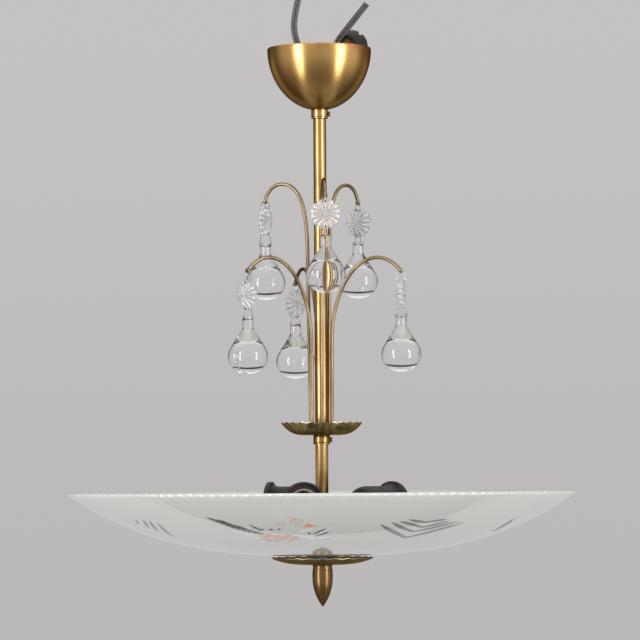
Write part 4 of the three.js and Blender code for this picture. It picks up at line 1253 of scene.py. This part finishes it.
rubber, tree, shader = new_material("grey_rubber")
marks = effect(tree, patch_group, Scale=500.0, From=0.35, To=0.7)
wired(tree, shader,
      Base_Color=mixed(tree, marks, (0.66, 0.69, 0.61, 1), (0.55, 0.58, 0.51, 1)),
      Roughness=spread(tree, marks, 0.6, 0.8),
      Normal=bumped(tree, marks, 0.00005, 0.5))
print("finishes:", bakelite.name, ceramic.name, rubber.name)

# %% Lampholders: their turned outlines
# Outlines are points of (radius, distance in front of the holder's back), in mm
ELBOW_R = 4.5
ENTRY_R = ELBOW_R + 0.3
HOLDER_R, FLANGE_R, NECK_R, HOLDER_LENGTH = 17.3, 22.0, 9.0, 58.0
FLANGE_THICK, COVE = 5.0, 8.0
MOUTH_R, SOCKET_R, SOCKET_FRONT, SEAT = 19.8, 15.8, 54.5, 17.0
WELL_R, WELL_BACK = 12.0, 9.0
SLEEVE_BORE_R, SLEEVE_FLOOR = 13.7, 21.0
THREAD_R, THREAD_WAVE, THREAD_PITCH = 13.45, 0.12, 3.6
THREAD_BACK, THREAD_LENGTH = 23.0, 27.0


def holder_profile():
    """The moulding: a domed back, a cove that opens into the flange, and the socket."""
    dome = [(NECK_R + (HOLDER_R - NECK_R) * math.sin(t), SEAT - (SEAT - 3) * math.cos(t))
            for t in (math.radians(9 * k) for k in range(11))]
    cove_back = HOLDER_LENGTH - FLANGE_THICK - COVE
    cove = [(HOLDER_R + (FLANGE_R - HOLDER_R) * (1 - math.cos(t)), cove_back + COVE * math.sin(t))
            for t in (math.radians(10 * k) for k in range(10))]
    front = HOLDER_LENGTH
    lip = [(FLANGE_R, front - 1.2), (FLANGE_R - 0.4, front - 0.4), (FLANGE_R - 1.2, front),
           (MOUTH_R + 0.4, front), (MOUTH_R, front - 0.4), (MOUTH_R, SOCKET_FRONT)]
    socket = [(SOCKET_R, SOCKET_FRONT), (SOCKET_R, SEAT), (WELL_R, SEAT), (WELL_R, WELL_BACK),
              (ENTRY_R, WELL_BACK)]
    return [(ENTRY_R, 0), (NECK_R - 0.6, 0), (NECK_R, 0.6), *dome, *cove, *lip, *socket]


def sleeve_profile():
    """The ceramic sleeve: a deep cup that lines the socket and stands out of it a little."""
    back, front, outer_r = SEAT + 0.3, SOCKET_FRONT + 1, SOCKET_R - 0.3
    return eased([(0, back), (outer_r, back), (outer_r, front), (SLEEVE_BORE_R, front),
                  (SLEEVE_BORE_R, SLEEVE_FLOOR), (0, SLEEVE_FLOOR)], 0.4, 2)


def screw_shell_profile():
    """Thin brass, pressed into the round thread that a lamp screws into."""
    depths = [THREAD_LENGTH * k / 54 for k in range(55)]
    wave = [(THREAD_R + THREAD_WAVE * math.sin(2 * math.pi * d / THREAD_PITCH), THREAD_BACK + d)
            for d in depths]
    return [(r + 0.2, x) for r, x in wave] + [(r - 0.15, x) for r, x in wave[::-1]]


def contact_profile():
    """The centre contact, a low button on the sleeve's floor."""
    return eased([(0, SLEEVE_FLOOR), (4, SLEEVE_FLOOR), (4, SLEEVE_FLOOR + 1.4),
                  (3.2, SLEEVE_FLOOR + 2), (0, SLEEVE_FLOOR + 2)], 0.3, 2)


print("lampholder:", HOLDER_LENGTH, "mm long, with a bore of", 2 * SLEEVE_BORE_R, "mm")

# %% Lampholders: laid round the stem, each on its elbow
HUB_AXIS_Z = DISH_RIM_Z - 12
HOLDER_TURNS = {"a": -43, "b": 77, "c": 197}
HOLDER_OFFSET, HOLDER_SETBACK = 37.4, 6.6
ELBOW_START = 9.3


def elbow_line():
    """Straight out of the hub, round one bend, and into the neck of the lampholder."""
    bend = HOLDER_SETBACK - 0.3
    bend_x = HOLDER_OFFSET - bend
    straight = [(ELBOW_START + (bend_x - ELBOW_START) * k / 4, 0, 0) for k in range(4)]
    a, c = Vector((bend_x, 0, 0)), Vector((HOLDER_OFFSET, 0, 0))
    b = Vector((HOLDER_OFFSET, bend, 0))
    corner = [a * (1 - t) ** 2 + c * 2 * t * (1 - t) + b * t * t
              for t in (k / 10 for k in range(11))]
    into_neck = [(HOLDER_OFFSET, HOLDER_SETBACK + depth, 0) for depth in (3, 6)]
    return [*straight, *corner, *into_neck]


for letter, turn in HOLDER_TURNS.items():
    side = Matrix.Translation((0, 0, HUB_AXIS_Z)) @ Matrix.Rotation(math.radians(turn), 4, "Z")
    lying = side @ Matrix.Translation((HOLDER_OFFSET, HOLDER_SETBACK, 0))
    lying = lying @ Matrix.Rotation(-math.pi / 2, 4, "X")
    shell = as_object(f"holder_{letter}_shell", moved(turned(holder_profile()), lying))
    finished(shell, bakelite, "stem", "bakelite", f"holder_shell_{letter}")
    sleeve = as_object(f"holder_{letter}_sleeve", moved(turned(sleeve_profile()), lying))
    finished(sleeve, ceramic, "stem", "porcelain", f"holder_sleeve_{letter}")
    thread = as_object(f"holder_{letter}_screw_shell",
                       moved(turned(screw_shell_profile(), 48), lying))
    finished(thread, tube_brass, "stem", "aged_brass")
    contact = as_object(f"holder_{letter}_contact", moved(turned(contact_profile(), 32), lying))
    finished(contact, tube_brass, "stem", "aged_brass")
    pipe = as_object(f"elbow_{letter}_tube", moved(swept(elbow_line(), circle(ELBOW_R, 24)), side))
    finished(pipe, pressed_brass, "stem", "aged_brass", f"elbow_{letter}")
print("lampholders:", list(HOLDER_TURNS))

# %% [markdown]
# Everything below the stem is threaded on one nipple: the hub, the washer and nut that hold
# the dish from inside, a rubber bush in its hole, the lower saucer and the finial. Each is a
# turned profile. The nut is a hexagonal bar whose corners are taken off by the overlap with
# a cone, as a real nut's are on the lathe.

# %% Hub at the stem's foot, and the threaded nipple
BORE_R = 5.3
FOOT_R, FOOT_TOP_Z, FOOT_BOTTOM_Z = 13.0, -428.7, -446.7
foot_seat_z = STEM_BOTTOM_Z - 0.3
foot_profile = [(BORE_R, FOOT_BOTTOM_Z), (FOOT_R - 1.5, FOOT_BOTTOM_Z),
                (FOOT_R, FOOT_BOTTOM_Z + 1.5), (FOOT_R, FOOT_TOP_Z - 1.5),
                (FOOT_R - 1.2, FOOT_TOP_Z), (HOLE_R, FOOT_TOP_Z), (HOLE_R, foot_seat_z),
                (BORE_R, foot_seat_z)]
foot = as_object("stem_foot_hub", turned(eased(foot_profile, 0.4, 2)))
finished(foot, pressed_brass, "stem", "aged_brass", "holder_hub")

NIPPLE_TOP_Z, NIPPLE_BOTTOM_Z = -441.5, -517.5
NIPPLE_R, NIPPLE_ROOT_R, NIPPLE_BORE_R, NIPPLE_PITCH = 5.0, 4.75, 3.5, 1.0
turns_of_thread = int((NIPPLE_TOP_Z - NIPPLE_BOTTOM_Z) / NIPPLE_PITCH)
threaded = []
for k in range(turns_of_thread):
    z = NIPPLE_BOTTOM_Z + k * NIPPLE_PITCH
    threaded += [(NIPPLE_ROOT_R, z), (NIPPLE_R, z + 0.35), (NIPPLE_R, z + 0.65)]
nipple_profile = [*threaded, (NIPPLE_ROOT_R, NIPPLE_TOP_Z), (NIPPLE_BORE_R, NIPPLE_TOP_Z),
                  (NIPPLE_BORE_R, NIPPLE_BOTTOM_Z)]
nipple = as_object("nipple_thread", turned(nipple_profile, 32))
finished(nipple, steel, "stem", "steel", "threaded_nipple")
print("nipple has", turns_of_thread, "turns of thread")

# %% Washer, lock nut and rubber bush
NUT_LOW, NUT_MIDDLE, NUT_TOP = -482.1, -480.5, -474.5
NUT_CORNER_R, NUT_FACE_R, WASHER_R = 9.81, 8.6, 16.0
hexagon = circle(NUT_CORNER_R, 6)
bar_line = [(0, 0, NUT_MIDDLE - 0.5), (0, 0, NUT_TOP)]
nut = as_object("dish_lock_nut", swept(bar_line, hexagon, Vector((1, 0, 0))))
cone = as_object("cone", turned([
    (0, NUT_MIDDLE - 1), (12, NUT_MIDDLE - 1), (12, NUT_TOP - 1.8), (NUT_FACE_R, NUT_TOP + 0.01),
    (0, NUT_TOP + 0.01)]))
combined(nut, [cone], "INTERSECT")
washer = as_object("washer", turned(eased([
    (0, NUT_LOW), (WASHER_R, NUT_LOW), (WASHER_R, NUT_MIDDLE), (0, NUT_MIDDLE)], 0.3, 2)))
combined(nut, [washer], "UNION")
bore = as_object("bore", turned([
    (0, NUT_LOW - 8), (BORE_R, NUT_LOW - 8), (BORE_R, NUT_TOP + 4), (0, NUT_TOP + 4)], 32))
finished(combined(nut, [bore]), pressed_brass, "stem", "aged_brass", "dish_nut", angle=25)

BUSH_R, BUSH_NECK_R = 11.1, 8.7
BUSH_LOW, BUSH_HIGH, BUSH_NECK_LOW, BUSH_NECK_HIGH = -496.4, -482.4, -489.0, -483.9
bush_profile = [(BORE_R, BUSH_LOW), (BUSH_R, BUSH_LOW), (BUSH_R, BUSH_NECK_LOW),
                (BUSH_NECK_R, BUSH_NECK_LOW), (BUSH_NECK_R, BUSH_NECK_HIGH),
                (BUSH_R, BUSH_NECK_HIGH), (BUSH_R, BUSH_HIGH), (BORE_R, BUSH_HIGH)]
bush = as_object("rubber_bush", turned(eased(bush_profile, 0.4, 2)))
finished(bush, rubber, "stem", "rubber", "dish_bush")
print("bush grips the glass over", round(BUSH_NECK_HIGH - BUSH_NECK_LOW, 1), "mm")

# %% [markdown]
# The lower saucer is pressed like the upper one, only wider and flatter, so it comes from
# the same function. The finial is a bullet turned from the solid. Its outline could be an
# arc, but the real one has a bead at the top and a tip drawn out thin, so it is a short list
# of shares of its radius and its length.

# %% Lower saucer and finial
LOWER_R, LOWER_BOTTOM_Z, LOWER_DEPTH, LOWER_FLUTE = 50, -497.5, 7.4, 0.7
lower = as_object("lower_fluted_saucer", saucer(
    LOWER_R, BUSH_R, BORE_R, LOWER_BOTTOM_Z, LOWER_DEPTH, LOWER_FLUTE))
finished(lower, dull_brass, "stem", "aged_brass", "lower_saucer")

FINIAL_TOP_Z, FINIAL_R, FINIAL_LENGTH, FINIAL_BORE = LOWER_BOTTOM_Z - 0.3, 10.2, 41.0, 20.0
FINIAL = [
    (0.93, 0), (0.96, 0.012), (0.96, 0.03), (0.93, 0.055), (0.955, 0.1), (0.985, 0.17),
    (1, 0.26), (0.99, 0.34), (0.97, 0.42), (0.93, 0.495), (0.87, 0.57), (0.79, 0.64),
    (0.7, 0.71), (0.575, 0.78), (0.44, 0.845), (0.31, 0.9), (0.18, 0.955), (0.09, 0.985),
    (0, 1),
]
bullet = [(FINIAL_R * r, FINIAL_TOP_Z - FINIAL_LENGTH * d) for r, d in FINIAL]
threads_end = FINIAL_TOP_Z - FINIAL_BORE
socket = [(0, threads_end), (BORE_R, threads_end), (BORE_R, FINIAL_TOP_Z)]
finial = as_object("bullet_finial", turned(socket + bullet))
finished(finial, dark_brass, "finial", "dark_brass", "finial")
print("finial tip at", round(FINIAL_TOP_Z - FINIAL_LENGTH, 1), "mm")

# %% [markdown]
# In the cup lies a dark moulded cap with a terminal block inside, where the house wiring
# would join. Its mouth faces the front, the left and a little down, and a bright screw sits
# in its side. One single core runs from the stem into it.

# %% Terminal cap, block and core
CAP_PLACE, CAP_TURN, CAP_TILT = (26.6, 0, 13.3), 60, 20
at_cap = (Matrix.Translation(CAP_PLACE) @ Matrix.Rotation(math.radians(CAP_TURN), 4, "Z")
          @ Matrix.Rotation(math.radians(90 - CAP_TILT), 4, "Y"))
BLOCK_R, BLOCK_FRONT, BLOCK_BACK = 11.8, 8.0, 17.0
cap_outside = [(13.7, 0), (14.3, 0.6), (15.1, 4.5), (15.75, 8), (16, 10.8), (15.9, 14),
               (15.5, 16.8), (14.4, 19.6), (12.5, 21.6), (9.8, 23.1), (6.4, 24), (0, 24)]
floor_at, wall_r = BLOCK_BACK + 0.3, BLOCK_R + 0.3
cap_inside = [(0, floor_at + 1), (4, floor_at + 1), (4, floor_at), (wall_r, floor_at),
              (wall_r, 0.6), (wall_r + 0.6, 0)]
cap = as_object("terminal_cap_moulding", moved(turned(cap_outside + cap_inside), at_cap))
finished(cap, bakelite, "stem", "bakelite", "terminal_cap")
block_profile = [(0, BLOCK_FRONT), (BLOCK_R, BLOCK_FRONT), (BLOCK_R, BLOCK_BACK),
                 (0, BLOCK_BACK)]
block = as_object("terminal_block_ceramic", moved(turned(eased(block_profile, 0.8)), at_cap))
finished(block, ceramic, "stem", "porcelain", "terminal_block")
TERMINAL_CORE_R = 0.9
core = as_object("terminal_core", swept(smooth_line(CORE_ROUTE), circle(TERMINAL_CORE_R)))
finished(core, sheath, "stem", "grey_cord", "terminal_lead")
print("terminal cap at", CAP_PLACE)

# %% Bright screw in the cap's side
nickel, tree, shader = new_material("bright_nickel", Metallic=1.0)
marks = effect(tree, patch_group, Scale=800.0, From=0.4, To=0.7)
wired(tree, shader,
      Base_Color=mixed(tree, marks, (0.78, 0.76, 0.72, 1), (0.6, 0.58, 0.55, 1)),
      Roughness=spread(tree, marks, 0.12, 0.3))
SCREW_BACK, SCREW_TURN = 14, -135
screw_at = (at_cap @ Matrix.Translation((0, 0, SCREW_BACK))
            @ Matrix.Rotation(math.radians(SCREW_TURN), 4, "Z")
            @ Matrix.Rotation(math.pi / 2, 4, "Y"))
cap_screw_profile = [(0, 12), (1.2, 12), (1.2, 15.5), (1.9, 15.5), (2.0, 16), (1.8, 16.6),
                     (0, 17)]
screw = as_object("cap_screw", moved(turned(cap_screw_profile, 24), screw_at))
finished(screw, nickel, "stem", "steel")
print("screw sits", SCREW_BACK, "mm behind the cap's mouth")

# %% [markdown]
# The photo's background is one even grey, and the metal and glass mirror a plain studio:
# pale paper behind, a bright ceiling, darker sides, and two tall soft lamps left and right
# of the camera, which draw the twin highlights on the brass. The floor is far below and out
# of the frame. Real walls of paper would need a careful build, so the world gives each
# direction its brightness instead, with one level for what the camera sees, one for what
# metal mirrors and one for what is seen through glass.

# %% Floor
FLOOR_R, FLOOR_Z = 0.88, -1.35
around = [2 * math.pi * k / 64 for k in range(64)]
floor_rim = [(FLOOR_R * math.cos(t), FLOOR_R * math.sin(t), FLOOR_Z) for t in around]
floor = as_object("studio_floor", (floor_rim, [list(range(len(floor_rim)))]))
paper, tree, shader = new_material("pale_floor", Roughness=0.9, IOR=1.2)
seen_in_metal = add(tree, "ShaderNodeLightPath").outputs["Is Glossy Ray"]
wired(tree, shader, Base_Color=mixed(tree, seen_in_metal, (0.45, 0.462, 0.468, 1),
                                     (0.2, 0.2, 0.196, 1)))
floor.data.materials.append(paper)
print("floor is", round(-FLOOR_Z, 2), "m below the hook")

# %% World: what the camera, the metal and the glass see of the studio
world = bpy.data.worlds.new("studio")
bpy.context.scene.world = world
world.use_nodes = True
tree = world.node_tree
direction = add(tree, "ShaderNodeTexCoord").outputs["Generated"]
split = add(tree, "ShaderNodeSeparateXYZ", Vector=direction)
side, back, up = split.outputs["X"], split.outputs["Y"], split.outputs["Z"]


def ramp(value, low, high, at_low, at_high):
    """A soft step from one brightness to another."""
    return add(tree, "ShaderNodeMapRange", {"interpolation_type": "SMOOTHSTEP"}, Value=value,
               From_Min=low, From_Max=high, To_Min=at_low, To_Max=at_high).outputs[0]


def both(operation, first, second):
    """Combine two levels by a maths operation."""
    return add(tree, "ShaderNodeMath", {"operation": operation}, _0=first, _1=second).outputs[0]


def pick(share, otherwise, chosen):
    """The chosen level where share is 1, and otherwise the other."""
    return add(tree, "ShaderNodeMix", Factor=share, _2=otherwise, _3=chosen).outputs[0]


ceiling = ramp(up, 0.25, 0.8, 0.0, 1.0)
front = both("MULTIPLY", ramp(back, -0.1, 0.45, 0.56, 0.12), ramp(up, -0.6, -0.1, 0.2, 1.0))
front = both("MULTIPLY", front, ramp(side, 0.2, 0.8, 1.0, 1.5))
sweep = both("MULTIPLY", ramp(up, -0.04, 0.03, 0.6, 0.0), ramp(back, 0.5, 0.72, 0.0, 1.0))
mirrored = both("MAXIMUM", both("MAXIMUM", front, sweep), ceiling)
away = add(tree, "ShaderNodeMath", {"operation": "ABSOLUTE"}, _0=back).outputs[0]
paper_behind = ramp(away, 0.38, 0.55, 0.15, 0.53)
seam = both("MAXIMUM", ramp(up, 0.44, 0.47, 1.0, 0.05), ramp(up, 0.53, 0.56, 0.0, 1.1))
through = both("MAXIMUM", both("MULTIPLY", paper_behind, seam), ramp(up, 0.6, 0.75, 0.0, 0.95))
backdrop = ramp(up, -0.03, 0.13, 0.496, 0.547)
path = add(tree, "ShaderNodeLightPath").outputs
level = pick(path["Is Glossy Ray"], 0.52, mirrored)
level = pick(path["Is Transmission Ray"], level, through)
level = pick(path["Is Camera Ray"], level, backdrop)
tinted = add(tree, "ShaderNodeVectorMath", {"operation": "SCALE"}, _0=(1.02, 0.98, 0.988),
             Scale=level).outputs[0]
tree.links.new(tinted, tree.nodes["Background"].inputs["Color"])
world.cycles.sampling_method = "NONE"
print("world nodes:", len(tree.nodes))

# %% Lamps
LAMPS = {
    "soft_lamp_left": ((-1.65, -1.5, -0.2), (0.5, 2.3), 31),
    "soft_lamp_right": ((1.7, -1.45, -0.2), (0.5, 2.3), 29),
}
for name, (spot, size, power) in LAMPS.items():
    lamp_data = bpy.data.lights.new(name, "AREA")
    lamp_data.shape = "RECTANGLE"
    lamp_data.size, lamp_data.size_y = size
    lamp_data.energy = power
    lamp = bpy.data.objects.new(name, lamp_data)
    bpy.context.collection.objects.link(lamp)
    lamp.location = spot
    towards = Vector((0, 0, -0.2)) - Vector(spot)
    lamp.rotation_euler = towards.to_track_quat("-Z", "Y").to_euler()
print("lamps:", list(LAMPS))
